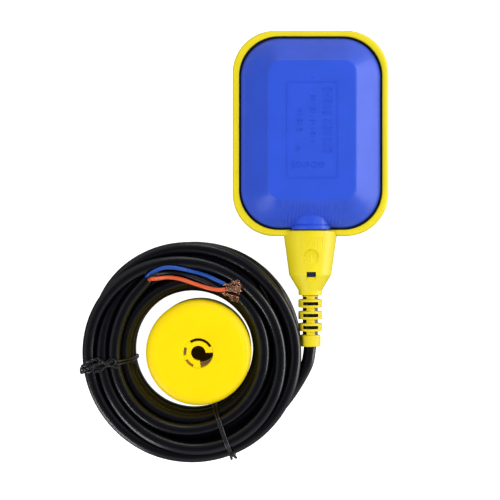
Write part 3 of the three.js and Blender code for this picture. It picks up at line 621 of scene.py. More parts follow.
    [-52.56,-153.33,14.53], [-61.12,-154.23,14.61], [-69.72,-153.43,14.62], [-77.9,-150.69,14.6],
    [-85.46,-146.32,14.59], [-91.8,-140.49,14.53], [-96.9,-133.4,14.45], [-100.35,-125.53,14.46],
    [-102.02,-117,14.47], [-101.88,-108.38,14.42], [-99.81,-99.99,14.39], [-96.15,-92.22,14.36],
    [-90.81,-85.44,14.4], [-84.26,-79.82,14.48], [-76.63,-75.83,14.64], [-68.32,-73.55,14.82], [-59.76,-73.21,15.02],
    [-51.44,-75.11,15.33], [-43.99,-79.41,15.32], [-37.78,-85.27,14.92], [-32.81,-92.2,15.5], [-29.17,-100.11,15.86],
    [-26.98,-108.49,16], [-26.87,-117.15,15.99], [-28.85,-125.46,15.87], [-32.84,-133.08,15.71],
    [-38.55,-139.43,15.61], [-45.7,-144.25,15.55], [-53.82,-147.13,15.55], [-62.42,-147.96,15.59],
    [-70.95,-146.59,15.58], [-78.88,-143.16,15.58], [-85.79,-137.79,15.65], [-91.1,-130.97,15.71],
    [-94.58,-122.99,15.78], [-95.94,-114.5,15.92], [-95.17,-105.89,16.18], [-92.33,-97.84,16.43],
    [-87.59,-90.7,16.65], [-81.31,-85,16.95], [-73.82,-80.98,17.32], [-65.71,-78.91,17.87], [-57.33,-78.88,18.72],
    [-49.31,-80.82,19.9], [-41.84,-84.63,20.85], [-35.45,-90.17,21.62], [-30.57,-96.95,22.2], [-27.51,-104.73,22.39],
    [-26.47,-113.04,22.39], [-27.46,-121.36,22.3], [-30.35,-129.21,22.2], [-34.91,-136.18,22.09],
    [-40.89,-141.92,22.03], [-47.97,-146.16,21.98], [-55.79,-148.68,21.9], [-63.94,-149.28,21.82],
    [-71.98,-147.91,21.85], [-79.45,-144.63,21.88], [-85.98,-139.67,21.9], [-91.24,-133.35,21.98],
    [-94.94,-125.99,22.11], [-96.84,-117.96,22.22], [-96.92,-109.68,22.38], [-95.12,-101.56,22.56],
    [-91.49,-94.04,22.84], [-86.19,-87.57,23.11], [-79.67,-82.27,23.4], [-72.21,-78.55,23.69], [-64.11,-76.6,24.15],
    [-55.81,-76.5,24.77], [-47.71,-78.3,25.62], [-40.31,-81.98,26.51], [-34.08,-87.37,27.29], [-29.24,-94.15,27.9],
    [-25.98,-101.86,28.4], [-24.41,-110.15,28.53], [-24.54,-118.62,28.38], [-26.35,-126.88,28.13],
    [-29.86,-134.53,27.9], [-34.93,-141.24,27.68], [-41.32,-146.71,27.48], [-48.7,-150.72,27.28],
    [-56.71,-153.11,27.1], [-65.01,-153.71,26.95], [-73.2,-152.46,26.88], [-80.89,-149.46,26.78],
    [-87.72,-144.86,26.67], [-93.38,-138.88,26.63], [-97.59,-131.82,26.65], [-100.38,-124.07,26.7],
    [-101.64,-115.91,26.83], [-101.24,-107.63,26.89], [-99.44,-99.54,27.02], [-96.41,-91.95,27.15],
    [-92.59,-85.34,27.19], [-84.72,-76.14,27.13],
]
# ---------------------------------------------------------------- the supply cable and what is on it
path_cable = spline(ROUTE, 2.2)
rows = tube_rows(path_cable, CABLE_R, 20)
tt, tn, tb = frames(path_cable)
ang = np.arange(20) * 2 * math.pi / 20


def end_ring(i, r, off):
    return path_cable[i] + tt[i] * off + r * (np.cos(ang)[:, None] * tn[i] + np.sin(ang)[:, None] * tb[i])


# the jacket's cut end: a chamfered lip round a shallow recess with the filler in it
rows = [end_ring(0, 1.2, 0.05), end_ring(0, 2.9, 0.0), *rows,
        end_ring(-1, 3.22, 0.22), end_ring(-1, 3.05, 0.40), end_ring(-1, 2.62, 0.42), end_ring(-1, 2.50, 0.30),
        end_ring(-1, 2.42, -0.7), end_ring(-1, 1.9, -0.95), end_ring(-1, 0.6, -0.8)]
cable = loft("supply_cable", rows, "cable_black", sharp=60.0)
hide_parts("supply_cable_lead", "supply_cable_coil")
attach(cable, "cable")

END, END_T = path_cable[-1], tt[-1]
side = np.cross([0, 0, 1.0], END_T)
side /= np.linalg.norm(side)
up = np.cross(END_T, side)


lying = [path_cable]


def rest_height(x, y, gap, default=-1e9):
    """Height at which something touching at distance gap from the cable's centreline rests over (x, y)."""
    z = default
    for line, grow in ((lying[0], 0.0), *((l, -2.2) for l in lying[1:])):
        d = np.hypot(line[:, 0] - x, line[:, 1] - y)
        g = gap + grow
        near = d < g
        if near.any():
            z = max(z, float((line[near, 2] + np.sqrt(g * g - d[near] ** 2)).max()))
    return z


def drape(p, gap, first, stiff=7):
    """Lifts a wire that lies on the coil out of the turns under it, with its own stiffness."""
    p = p.copy()
    low = np.array([rest_height(x, y, gap) for x, y, z in p])
    z = np.maximum(p[:, 2], low + 0.05)
    for _ in range(stiff):
        zz = np.r_[z[0], z, z[-1]]
        zz = np.convolve(np.pad(z, 6, mode='edge'), np.ones(13) / 13, 'valid')
        z = np.maximum(zz, low + 0.05)
    w = smoothstep(first - 3, first + 5, np.arange(len(p)))
    p[:, 2] = p[:, 2] * (1 - w) + z * w
    return p


def core_path(side_off, up_off, points):
    o = side * side_off + up * up_off
    return spline([END - END_T * 2.4 + o * 0.9, END - END_T * 0.6 + o * 0.95, END + END_T * 1.2 + o * 1.0, *points], 0.5)


cores = {
    "core_blue": (1.15, 0.35, [[-80.6, -71.6, 27.0], [-75.6, -69.7, 26.0], [-70.0, -69.7, 25.2], [-61.6, -71.5, 24.9],
                               [-53.1, -74.1, 24.9], [-47.4, -76.7, 24.9], [-44.6, -78.0, 24.9]]),
    "core_brown": (-0.95, 0.95, [[-79.1, -75.2, 27.5], [-73.4, -74.7, 27.4], [-67.2, -75.6, 27.3],
                                 [-59.9, -78.0, 27.2], [-53.1, -80.1, 27.0], [-47.4, -81.0, 26.8], [-43.9, -80.8, 26.6]]),
    "core_black": (0.15, -1.2, [[-78.4, -72.9, 25.0], [-70.0, -72.4, 24.5], [-61.7, -74.3, 24.4],
                                [-53.3, -77.6, 24.4], [-48.0, -80.4, 24.4], [-45.2, -82.3, 24.4]]),
}
core_end = {}
for nm, (so, uo, pts) in sorted(cores.items(), key=lambda kv: kv[0] == "core_brown"):
    p = core_path(so, uo, pts)
    p = drape(p, CABLE_R + 1.06, 8)
    lying.append(p)
    core_end[nm] = (p[-1], (p[-1] - p[-3]) / np.linalg.norm(p[-1] - p[-3]))
    rad = np.full(len(p), 1.05)
    rad[-3:] = [1.06, 1.03, 0.98]
    o = tube(nm + "_insulation", p, rad, 18, nm)
    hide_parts(nm)
    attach(o, "cable")


def strands(name, start, direction, targets, seed, count=15, wire=0.155):
    """Bared strands: they leave the insulation in a twisted bundle, then fan out and curl."""
    rng = random.Random(seed)
    lift = start[2] - CAD_END_Z[name[11:name.index("_strands")]]
    d = np.array(direction, float)
    s = np.cross([0, 0, 1.0], d)
    s /= np.linalg.norm(s)
    u = np.cross(d, s)
    objs = []
    for i in range(count):
        a = 2 * math.pi * i / count * 1.7 + rng.uniform(-0.2, 0.2)
        rr = 0.62 if i % 3 else 0.25
        tgt = targets[i % len(targets)]
        pts = [start - d * 1.2 + (s * math.cos(a) + u * math.sin(a)) * rr * 0.8]
        for k, f in enumerate((0.0, 0.18, 0.38)):
            aa = a + 1.5 * (k + 1) * 0.55
            pts.append(start + d * f * 5.0 + (s * math.cos(aa) + u * math.sin(aa)) * rr * (1 + 0.35 * k))
        j = lambda v: np.array([rng.uniform(-v, v), rng.uniform(-v, v), rng.uniform(-v * 0.7, v * 0.7)])
        for k, q in enumerate(tgt):
            pts.append(np.array(q, float) + np.array([0, 0, lift]) + j(0.40 + 0.24 * k))
        p = spline(pts, 0.22)
        floor_z = np.array([rest_height(x, y, CABLE_R + wire) for x, y, z in p])
        p[6:, 2] = np.maximum(p[6:, 2], floor_z[6:] + 0.02)
        rows = tube_rows(p, wire, 7, twist=0.05)
        rows = [p[0] - (p[1] - p[0]) * 0.2 + (rows[0] - p[0]) * 0.5, *rows, p[-1] + (p[-1] - p[-2]) * 0.3 + (rows[-1] - p[-1]) * 0.5]
        objs.append(loft(f"{name}_{i}", rows, "copper"))
    return join(name, objs, "copper", 60.0)


CAD_END_Z = {"blue": 25.2, "brown": 26.9, "black": 24.6}
copper = {
    "copper_end_blue": ("core_blue", [
        [[-41.0, -78.2, 26.0], [-39.1, -76.9, 26.8], [-37.3, -76.6, 26.9], [-36.2, -77.8, 26.8]],
        [[-41.2, -78.9, 26.3], [-39.4, -78.0, 27.4], [-37.9, -77.6, 27.3], [-37.0, -78.9, 26.6], [-37.9, -79.9, 26.0]],
        [[-41.4, -79.0, 25.8], [-40.2, -77.2, 26.6], [-39.0, -77.6, 27.6], [-39.4, -79.1, 27.6]],
        [[-41.0, -78.4, 26.6], [-38.7, -77.3, 27.9], [-36.9, -78.0, 27.9], [-36.4, -79.6, 27.0]],
        [[-41.9, -77.9, 25.6], [-40.3, -76.9, 26.0], [-38.6, -76.2, 25.8]]], 11),
    "copper_end_brown": ("core_brown", [
        [[-40.9, -80.6, 27.6], [-38.9, -79.7, 28.3], [-37.2, -80.2, 28.3], [-36.4, -81.7, 27.8], [-37.4, -82.6, 27.1]],
        [[-41.0, -81.3, 27.4], [-39.3, -81.8, 28.0], [-37.6, -81.4, 28.5], [-36.9, -80.1, 28.3]],
        [[-41.2, -80.2, 27.5], [-39.8, -79.2, 28.5], [-38.2, -79.0, 28.7], [-37.4, -80.1, 28.8], [-38.3, -81.2, 28.6]],
        [[-41.1, -81.4, 26.9], [-39.6, -82.0, 27.2], [-38.4, -82.3, 27.0], [-37.6, -81.6, 26.8]],
        [[-40.9, -80.6, 28.0], [-39.4, -80.9, 29.0], [-38.3, -80.3, 29.3], [-38.9, -79.2, 29.0]]], 12),
    "copper_end_black": ("core_black", [
        [[-43.0, -83.6, 24.9], [-41.0, -84.4, 25.2], [-39.4, -85.3, 25.3], [-38.3, -87.0, 24.9]],
        [[-43.0, -83.9, 24.7], [-41.3, -85.2, 24.8], [-40.2, -86.6, 24.6], [-39.0, -87.3, 24.4]],
        [[-43.1, -83.3, 25.2], [-41.2, -83.6, 25.8], [-39.3, -84.2, 25.9], [-38.0, -85.3, 25.4], [-38.2, -86.6, 24.8]],
        [[-42.9, -83.6, 24.5], [-41.1, -84.9, 24.4], [-40.4, -85.9, 24.6]]], 13),
}
for nm, (core, targets, seed) in copper.items():
    e, d = core_end[core]
    o = strands(nm + "_strands", e, d, targets, seed, count=11)
    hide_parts(nm)
    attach(o, "cable")


# twist ties: coated wire pulled tight round the bundle's real section
def section(deg):
    """Where the cable crosses the half plane at this world angle: radius and height of each strand."""
    a = math.radians(deg)
    rel = path_cable[:, :2] - COIL
    ca, sa = math.cos(a), math.sin(a)
    along = rel[:, 0] * ca + rel[:, 1] * sa
    across = -rel[:, 0] * sa + rel[:, 1] * ca
    out = []
    for i in range(len(across) - 1):
        if across[i] * across[i + 1] <= 0 and along[i] > 5:
            f = across[i] / (across[i] - across[i + 1]) if across[i] != across[i + 1] else 0
            out.append((along[i] + f * (along[i + 1] - along[i]), path_cable[i, 2] + f * (path_cable[i + 1, 2] - path_cable[i, 2])))
    return out


def hull_loop(deg, offset):
    """Closed loop round the strands at that angle, offset from their jackets, by even steps."""
    pts = []
    for r, z in section(deg):
        for k in range(24):
            b = 2 * math.pi * k / 24
            pts.append((r + (CABLE_R + offset) * math.cos(b), z + (CABLE_R + offset) * math.sin(b)))
    pts = sorted(set((round(x, 4), round(y, 4)) for x, y in pts))

    def half(seq):
        h = []
        for p in seq:
            while len(h) > 1 and (h[-1][0] - h[-2][0]) * (p[1] - h[-2][1]) - (h[-1][1] - h[-2][1]) * (p[0] - h[-2][0]) <= 0:
                h.pop()
            h.append(p)
        return h[:-1]
    hull = np.array(half(pts) + half(pts[::-1]))
    hull = np.vstack([hull, hull[0]])
    s = np.r_[0, np.cumsum(np.linalg.norm(np.diff(hull, axis=0), axis=1))]
    u = np.linspace(0, s[-1], 361)[:-1]
    hull = np.stack([np.interp(u, s, hull[:, k]) for k in range(2)], 1)
    for _ in range(6):
        hull = (np.roll(hull, 1, 0) + hull * 2 + np.roll(hull, -1, 0)) / 4
    hull = np.vstack([hull, hull[0]])
    s = np.r_[0, np.cumsum(np.linalg.norm(np.diff(hull, axis=0), axis=1))]
    return hull, s


def on_loop(loop, u):
    hull, s = loop
    u = (u % 1.0) * s[-1]
    return np.array([np.interp(u, s, hull[:, 0]), np.interp(u, s, hull[:, 1])])


def world_of(deg, r, across, z):
    a = math.radians(deg)
    return np.array([COIL[0] + r * math.cos(a) - across * math.sin(a), COIL[1] + r * math.sin(a) + across * math.cos(a), z])


def param_at(loop, r, top=True):
    """Loop parameter where the loop passes radius r on its top or bottom side."""
    us = np.linspace(0, 1, 720, endpoint=False)
    q = np.array([on_loop(loop, u) for u in us])
    mid = q[:, 1].mean()
    ok = (q[:, 1] > mid) if top else (q[:, 1] < mid)
    d = np.where(ok, np.abs(q[:, 0] - r), 1e9)
    return float(us[int(np.argmin(d))])


def wraps(deg, wire, turns, u0, shifts, start_pts, end_pts, step=0.6):
    """Wire path: start points, then turns round the bundle drifting sideways by shifts, then end points."""
    loop = hull_loop(deg, wire * 0.92)
    n = 60 * turns
    pts = [world_of(deg, *p) for p in start_pts]
    for k in range(n + 1):
        f = k / n
        r, z = on_loop(loop, u0 + f * turns)
        pts.append(world_of(deg, r, np.interp(f, *shifts), max(z, wire + 0.02)))
    pts += [world_of(deg, *p) for p in end_pts]
    return spline(pts, step)


WIRE = 0.68
objs = []
deg = 291.4
loop = hull_loop(deg, WIRE * 0.92)
r_out = max(r for r, z in section(deg)) + CABLE_R
u0 = param_at(loop, r_out - 2.0)
z0 = on_loop(loop, u0)[1]
p = wraps(deg, WIRE, 2, u0, ([0, 0.05, 0.40, 0.62, 0.95, 1.0], [-0.72, -0.70, -0.68, 0.70, 0.70, 0.72]),
          [(r_out + 1.5, -1.3, z0 - 2.6), (r_out + 0.9, -1.1, z0 - 0.9), (r_out - 0.4, -0.95, z0 + 0.4)],
          [(r_out - 0.4, 0.95, z0 + 0.4), (r_out + 0.9, 0.9, z0 - 0.7), (r_out + 1.7, 1.2, z0 - 2.0)])
objs.append(tube("tie_b", p, WIRE, 12, "tie_dark"))
tie_bottom = join("twist_tie_bottom_wire", objs, "tie_dark", 60)
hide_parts("twist_tie_bottom")
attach(tie_bottom, "cable")

deg = 188.0
loop = hull_loop(deg, WIRE * 0.92)
sec = section(deg)
r_out = max(r for r, z in sec) + CABLE_R
r_in = min(r for r, z in sec) - CABLE_R
top = lambda r: on_loop(loop, param_at(loop, r))[1]
u0 = param_at(loop, r_out - 12)
p1 = wraps(deg, WIRE, 2, u0, ([0, 0.2, 0.5, 0.8, 1.0], [0.9, 0.2, -0.9, -0.3, 1.2]),
           [(r_out - 7, 2.6, top(r_out - 7) + 1.9), (r_out - 9.5, 2.9, top(r_out - 10) + 1.4), (r_out - 11.0, 1.6, top(r_out - 11) + 0.6)],
           [(r_out - 14, -0.4, top(r_out - 14) + 0.9), (r_out - 16.5, -1.6, top(r_out - 16) + 1.5)])
objs = [tube("tie_l0", p1, WIRE, 12, "tie_dark")]


def twisted(deg, spine, wire, pitch, phase=0.0, radius=None, step=0.45):
    """Two wires twisted about a spine given as (radius, across, height)."""
    c = spline([world_of(deg, *q) for q in spine], step)
    t, n, b = frames(c)
    s = np.r_[0, np.cumsum(np.linalg.norm(np.diff(c, axis=0), axis=1))]
    rad = wire * 0.98 if radius is None else radius
    out = []
    for ph in (0, math.pi):
        a = 2 * math.pi * s / pitch + ph + phase
        out.append(c + rad * (np.cos(a)[:, None] * n + np.sin(a)[:, None] * b))
    return out


tz = top(r_out - 8)
knots = [
    [(r_out - 0.2, 1.6, top(r_out - 1) + 0.1), (r_out - 2.5, 0.9, top(r_out - 3) + 0.9), (r_out - 5.5, 0.2, tz + 1.1),
     (r_out - 8.5, -0.8, tz + 1.3), (r_out - 11.5, -1.2, top(r_out - 12) + 1.1), (r_out - 14.0, -0.4, top(r_out - 14) + 1.2)],
    [(r_out - 3.0, -2.0, top(r_out - 3) + 0.7), (r_out - 5.0, -3.0, tz + 0.8), (r_out - 8.0, -3.4, tz + 0.9),
     (r_out - 10.5, -2.4, top(r_out - 10) + 1.0), (r_out - 11.0, -0.6, top(r_out - 11) + 1.9)],
]
for i, k in enumerate(knots):
    for j, q in enumerate(twisted(deg, k, 0.55, 4.4 + i, phase=0.8 * i)):
        objs.append(tube(f"tie_k{i}{j}", q, 0.55, 10, "tie_dark"))
curls = [
    [(r_out - 1.0, 2.4, top(r_out - 1) + 0.2), (r_out + 0.9, 2.9, top(r_out - 1) - 1.2), (r_out + 1.3, 1.6, top(r_out - 1) - 2.4),
     (r_out + 0.8, 0.2, top(r_out - 1) - 1.2), (r_out - 0.6, -0.6, top(r_out - 1) + 0.5)],
    [(r_out - 13.0, -1.2, top(r_out - 13) + 1.0), (r_out - 15.5, -2.4, top(r_out - 15) + 0.8), (r_out - 17.6, -1.6, top(r_out - 17) + 1.0),
     (r_out - 17.4, 0.2, top(r_out - 17) + 1.4), (r_out - 15.6, 1.0, top(r_out - 15) + 1.7), (r_out - 14.4, 0.2, top(r_out - 14) + 1.9)],
    [(r_out - 6.5, -1.0, tz + 1.6), (r_out - 6.0, 1.2, tz + 1.9), (r_out - 4.0, 2.6, tz + 1.0), (r_out - 2.2, 2.4, top(r_out - 2) + 0.6)],
    [(r_out - 15.8, 0.6, top(r_out - 15) + 1.1), (r_out - 17.3, 1.9, top(r_out - 17) + 0.8), (r_out - 18.8, 2.6, top(r_out - 18) + 0.5)],
]
for i, c in enumerate(curls):
    objs.append(tube(f"tie_c{i}", spline([world_of(deg, *q) for q in c], 0.45), 0.52, 10, "tie_dark"))
# the wire's other end shows at the coil's inner wall
nub = [(r_in + 0.6, 1.0, 24.0), (r_in - 0.8, 2.4, 22.6), (r_in - 1.2, 3.9, 21.6), (r_in - 1.6, 5.0, 21.8)]
for j, q in enumerate(twisted(deg, nub, 0.5, 3.4)):
    objs.append(tube(f"tie_n{j}", q, 0.5, 10, "tie_dark"))
tie_left = join("twist_tie_left_wire", objs, "tie_dark", 60)
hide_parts("twist_tie_left")
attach(tie_left, "cable")
# the ribbed strain relief between the float and the cable, drawn straight
RINGS = [(-86.3, -90.5), (-92.4, -96.6), (-98.7, -102.8)]
prof, rad = [(4.4, -84.4)], [0]
for a, b in RINGS:
    prof += [(4.4, a), (6.2, a), (6.2, b), (4.4, b)]
    rad += [0.25, 0.45, 0.45, 0.25]
prof += [(4.4, -104.9), (5.4, -104.9), (5.4, -110.8), (3.65, -110.8)]
rad += [0.25, 0.5, 0.6, 0]
outer = rounded(prof, rad, 4)
fine = []
for p, q in zip(outer[:-1], outer[1:]):
    n = max(1, int(math.ceil(abs(q[1] - p[1]) / 0.7)))
    fine += [(p[0] + (q[0] - p[0]) * k / n, p[1] + (q[1] - p[1]) * k / n) for k in range(n)]
fine.append(outer[-1])
inner = [(3.65 + 0.42 * float(smoothstep(-105.6, -105.0, y)), y) for y in np.linspace(-110.1, -84.4, 38)]
boot = revolve("strain_relief_ribbed", fine + inner, (0, MID), 'y', "boot_yellow", seg=72, sharp=28)
for a, b in RINGS:
    m = (a + b) / 2
    boolean(boot, block("cut", -3.9, 3.9, m - 0.88, m + 0.88, 5, 40))
for y1, y0 in ((-84.9, -86.1), (-90.7, -92.2), (-96.8, -98.5), (-103.0, -104.7)):
    boolean(boot, block("cut", 2.1, 9, y0, y1, 10, 32))
    boolean(boot, block("cut", -9, -2.1, y0, y1, 10, 32))
finish_mesh(boot, "boot_yellow", 28)
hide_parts("strain_relief_boot")
yy = np.linspace(-84.0, -111.0, 76)
# painted shade: the black jacket is drawn 0.7 mm wider in radius where the relief is slotted, so its black fills the
# slots' shade
cable_boot = tube("cable_through_relief", np.array([(0, y, MID) for y in yy]), 3.25 + 0.70 * smoothstep(-105.6, -105.0, yy), 32,
                  "cable_black", round_ends=False)
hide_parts("cable_in_boot")
for o in (boot, cable_boot):
    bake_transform(o)


# ---------------------------------------------------------------- float shells
def rrect(hw, hl, r, n_end=12, n_side=22, n_corner=18, dense=False):
    """Rounded rectangle, anticlockwise from the left end of the cable side."""
    xs = np.linspace(-(hw - r), hw - r, (176 if dense else n_end) + 1)[:-1]
    pts = [(x, -hl) for x in xs]
    for cx, cy, a0 in ((hw - r, -hl + r, -90), (hw - r, hl - r, 0), (-hw + r, hl - r, 90), (-hw + r, -hl + r, 180)):
        arc = [(cx + r * math.cos(math.radians(a0 + 90 * k / n_corner)), cy + r * math.sin(math.radians(a0 + 90 * k / n_corner)))
               for k in range(n_corner)]
        pts += arc
        if a0 == -90:
            pts += [(hw, y) for y in np.linspace(-hl + r, hl - r, n_side + 1)[:-1]]
        elif a0 == 0:
            pts += [(x, hl) for x in np.linspace(hw - r, -hw + r, n_end + 1)[:-1]]
        elif a0 == 90:
            pts += [(-hw, y) for y in np.linspace(hl - r, -hl + r, n_side + 1)[:-1]]
    return np.array(pts)


def ring3(hw, hl, r, z, **k):
    p = rrect(hw, hl, r, **k)
    return np.c_[p, np.full(len(p), z)]


def flank(n=26):
    """Outer profile as (offset from the plateau's edge, height over the seam side), plateau to seam."""
    pts = [(-6.0, 42.0), (-3.0, 42.0), (-1.2, 42.0), (-0.65, 41.97), (-0.22, 41.84), (0.18, 41.56), (0.55, 41.16)]
    for k in range(1, n):
        f = k / n
        d, z = 0.55 + f * 12.3, 41.16 - f * 14.0
        bulge = 0.22 * math.sin(math.pi * f) + 0.22 * math.sin(math.pi * f * f)
        pts.append((d + bulge * 0.75, z + bulge * 0.66))
    pts += [(13.2, 26.6), (13.55, 25.9), (13.75, 25.1), (13.8, 24.2), (13.8, 22.6), (13.8, 21.15)]
    return pts


def half_shell(name, top):
    sz = (lambda z: z) if top else (lambda z: T_FLOAT - z)
    rows = []
    for d, z in flank():
        g = ring3(22.4 + d, 35.4 + d, 6.5 + d, z, dense=True)
        if 0.9 < d < 12.6:
            # fine moulded ribs on the flank over the cable entry
            m = (g[:, 1] < -(35.4 + d) + 0.35) & (np.abs(g[:, 0]) < 15.9)
            x = g[:, 0]
            tooth = 0.5 + 0.5 * np.tanh(3.2 * np.cos(2 * math.pi * x / 1.8))
            h = 0.27 * tooth * smoothstep(0.9, 1.8, d) * (1 - smoothstep(10.6, 12.4, d)) * smoothstep(0, 0.8, 15.9 - np.abs(x))
            g[:, 2] += np.where(m, h * 0.68, 0)
            g[:, 1] -= np.where(m, h * 0.73, 0)
        g[:, 2] = sz(g[:, 2])
        rows.append(g)
    o = loft(name, rows, "shell_blue", sharp=30)
    # cable boss, a half-moon with a fine parting groove and a rounded lip
    prof = rounded([(0.5, -35.0), (9.7, -35.0), (9.7, -47.2), (9.4, -47.45), (9.4, -47.7), (10.15, -47.95), (10.15, -50.1),
                    (0.5, -50.1)], [0, 0, 0.1, 0, 0, 0.3, 0.6, 0], 5)
    boss = revolve("boss", prof, (0, sz(24.7)), 'y', "shell_blue", seg=144, closed=False)
    boolean(boss, block("cut", -40, 40, -70, 0, -20, 21.15) if top else block("cut", -40, 40, -70, 0, 20.85, 60))
    boolean(o, boss, 'UNION')
    # a thin panel outline with plain bars and a level mark in it, raised above and sunk below
    z_a, z_b = (41.6, 42.25) if top else (-1.0, 0.2)
    op = 'UNION' if top else 'DIFFERENCE'

    def plate(hw, hl, r, cx, cy, hole=0.0, soft=0.11):
        # flat mark with sloping edges; a hole leaves an outline
        at0 = np.array([cx, cy, 0])
        mid = 42.0 if top else 0.0
        nc = 10 if r > 0.6 else 4

        def row(d, z):
            g = ring3(max(hw + d, 0.03), max(hl + d, 0.03), max(r + d, 0.02), 0, n_end=3, n_side=3, n_corner=nc) + at0
            g[:, 2] = z
            return g

        out = [row(0, z_a), row(0, mid), row(-soft, z_b)]
        if not hole:
            return loft("plate", out, "shell_blue")
        return loft("plate", out + [row(-hole + soft, z_b), row(-hole, mid), row(-hole, z_a)], "shell_blue", close_v=True)

    # panel outline, and in it rows of plain bars, boxes and rings
    plates = [plate(12.95, 24.4, 1.2, 0, 0, 0.5), plate(0.35, 0.35, 0.1, 0, 26.4)]
    y = 21.4
    for k in range(11):
        if k % 2 == 0:
            plates.append(plate(2.45, 0.95, 0.3, 7.7, y - 0.95, 0.5))
            y -= 1.9 + 1.1
        else:
            for dy in (0.25, 1.55):
                plates.append(plate(2.45 - 0.5 * (k % 4 == 3), 0.26, 0.1, 7.7, y - dy))
            y -= 1.8 + 1.1
        if k == 4:
            y -= 1.6
    y = 17.2
    for k in range(12):
        if k % 3 == 0:
            plates.append(plate(1.25, 0.6, 0.2, 0.3, y - 0.6, 0.38))
            y -= 1.2 + 0.8
        elif k % 3 == 1:
            plates.append(plate(1.25, 0.2, 0.1, 0.3, y - 0.2))
            y -= 0.4 + 1.6
        else:
            plates.append(plate(0.75, 0.45, 0.3, 0.3, y - 0.45))
            y -= 0.9 + 1.2
    y = 10.3
    for k in range(5):
        plates.append(plate(1.3, 0.2, 0.1, -6.4, y - 0.2) if k % 2 else plate(1.3, 0.7, 0.25, -6.4, y - 0.7, 0.38))
        y -= 2.4
    for k, hw in enumerate((1.7, 1.05, 0.4)):
        plates.append(plate(0.22, hw, 0.1, -7.9 + 1.0 * k, -9.4))
    plates.append(plate(0.24, 2.1, 0.1, -9.6, -17.6))
    for x in (-6.9, -2.9, 1.1):
        plates.append(plate(1.55, 1.55, 1.5, x, -17.6, 0.42))
    plates.append(plate(0.5, 0.5, 0.45, -2.9, -17.6))
    plates.append(plate(1.3, 1.3, 0.2, 4.6, -17.6, 0.42))
    marks = join("marks", plates, "shell_blue")
    boolean(o, marks, op)
    # hollow it, leaving the tube for the cable gland
    rows = [ring3(20.9 + d, 33.9 + d, 5.0 + d, sz(z)) for d, z in ((0.0, 40.0), (13.1, 26.0), (13.1, 20.0))]
    cavity = loft("cavity", rows, "shell_blue")
    tube_ = revolve("t", [(0.5, -49.5), (10.4, -49.5), (10.4, -36.2), (0.5, -36.2)], (0, MID), 'y', "shell_blue", seg=96, closed=False)
    boolean(cavity, tube_)
    boolean(o, cavity)
    boolean(o, revolve("b", [(0.3, -60), (8.8, -60), (8.8, -30), (0.3, -30)], (0, MID), 'y', "shell_blue", seg=72, closed=False))
    finish_mesh(o, "shell_blue", 30)
    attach(o, "float")
    return o


upper = half_shell("upper_shell_moulded", True)
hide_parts("upper_shell")
lower = half_shell("lower_shell_moulded", False)
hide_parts("lower_shell")


# ---------------------------------------------------------------- sealing band
def band(name, outer, inner, section_pts, slot, n_corner=28, **k):
    """Ring swept round a rounded rectangle: section points are (share of the way inwards, height)."""
    rows = []
    for u, z in section_pts:
        hw, hl, r = (outer[i] + (inner[i] - outer[i]) * u for i in range(3))
        rows.append(ring3(hw, hl, r, z, n_corner=n_corner, n_side=14, n_end=14))
    return loft(name, rows, slot, close_v=True, **k)


gasket = band("rim_sealing_band", (38.1, 51.1, 21.4), (36.15, 49.15, 20.25),
              rounded([(0, 20), (0, 25.1), (1, 25.1), (1, 16.9), (0, 16.9), (0, 20)], [0, .35, .35, .35, .35, 0], 4)[:-1], "seal_black")
for z in (24.7, 17.3):
    boolean(gasket, revolve("g", [(0.5, -60), (10.2, -60), (10.2, -45), (0.5, -45)], (0, z), 'y', "seal_black", seg=96, closed=False))
finish_mesh(gasket, "seal_black", 30)
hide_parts("rim_gasket")
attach(gasket, "float")

# ---------------------------------------------------------------- bumper frame with its nose
sec = [(0, 21.0), (0, 24.3)]
for k in range(1, 8):
    a = math.radians(90 * k / 7)
    sec.append((0.46 * (1 - math.cos(a)), 24.3 + 2.2 * math.sin(a)))
sec += [(0.70, 26.5), (0.88, 26.47), (0.97, 26.3), (1.0, 26.0), (1.0, 25.4), (0.70, 25.2), (0.70, 21.0)]
low = [(u, T_FLOAT - z) for u, z in sec[::-1]][1:-1]
rim = band("bumper_frame_moulded", (40.5, 53.3, 22.0), (37.1, 50.1, 20.4), sec + low, "frame_yellow")

NOSE = rounded([(13.75, -50.6), (13.75, -53.7), (11.0, -73.6), (6.15, -81.7), (6.15, -84.1)], [0, 1.6, 2.6, 1.6, 0], 6)
NOSE = NOSE[:-1] + [(6.15, -83.7), (5.95, -84.0), (5.6, -84.1)]
NOSE[0:1] = [(13.2, -50.6), (13.6, -50.75), (13.75, -51.1)]
pr = np.array(NOSE)
ys, rs = [], []
for (r0, y0), (r1, y1) in zip(NOSE[:-1], NOSE[1:]):
    n = max(1, int(math.ceil(abs(y1 - y0) / 0.26)))
    for k in range(n):
        ys.append(y0 + (y1 - y0) * k / n)
        rs.append(r0 + (r1 - r0) * k / n)
ys.append(NOSE[-1][1])
rs.append(NOSE[-1][0])
angles = []
for c in (90, 270):
    angles += list(np.arange(c - 36, c + 36, 1.1))
    angles += list(np.arange(c + 36, c + 144, 3.6))
angles = np.radians(np.array(sorted(a % 360 for a in angles)))
verts = []
for y, r in zip(ys, rs):
    x, z = r * np.cos(angles), r * np.sin(angles)
    d = np.hypot(x + 0.05, y + 64.2)
    # round recess, deepest on the float's side, with a low pointer in it
    depth = (1.0 + 0.2 * (y + 64.2)) * (1 - smoothstep(3.65, 3.95, d))
    bar = (1 - smoothstep(0.15, 0.45, np.abs(x + 0.05))) * (1 - smoothstep(2.0, 2.4, np.abs(y + 64.2)))
    depth = depth - 0.30 * bar * (d < 3.6)
    lines = 0.16 * (0.5 + 0.5 * np.cos(2 * math.pi * x / 1.35)) ** 3 * (1 - smoothstep(6.2, 7.2, np.abs(x)))
    lines = lines * smoothstep(-60.6, -59.2, y) * (1 - smoothstep(-55.2, -54.4, y))
    rr = r - depth - lines
    verts += [(rr[i] * math.cos(a), y, MID + rr[i] * math.sin(a)) for i, a in enumerate(angles)]
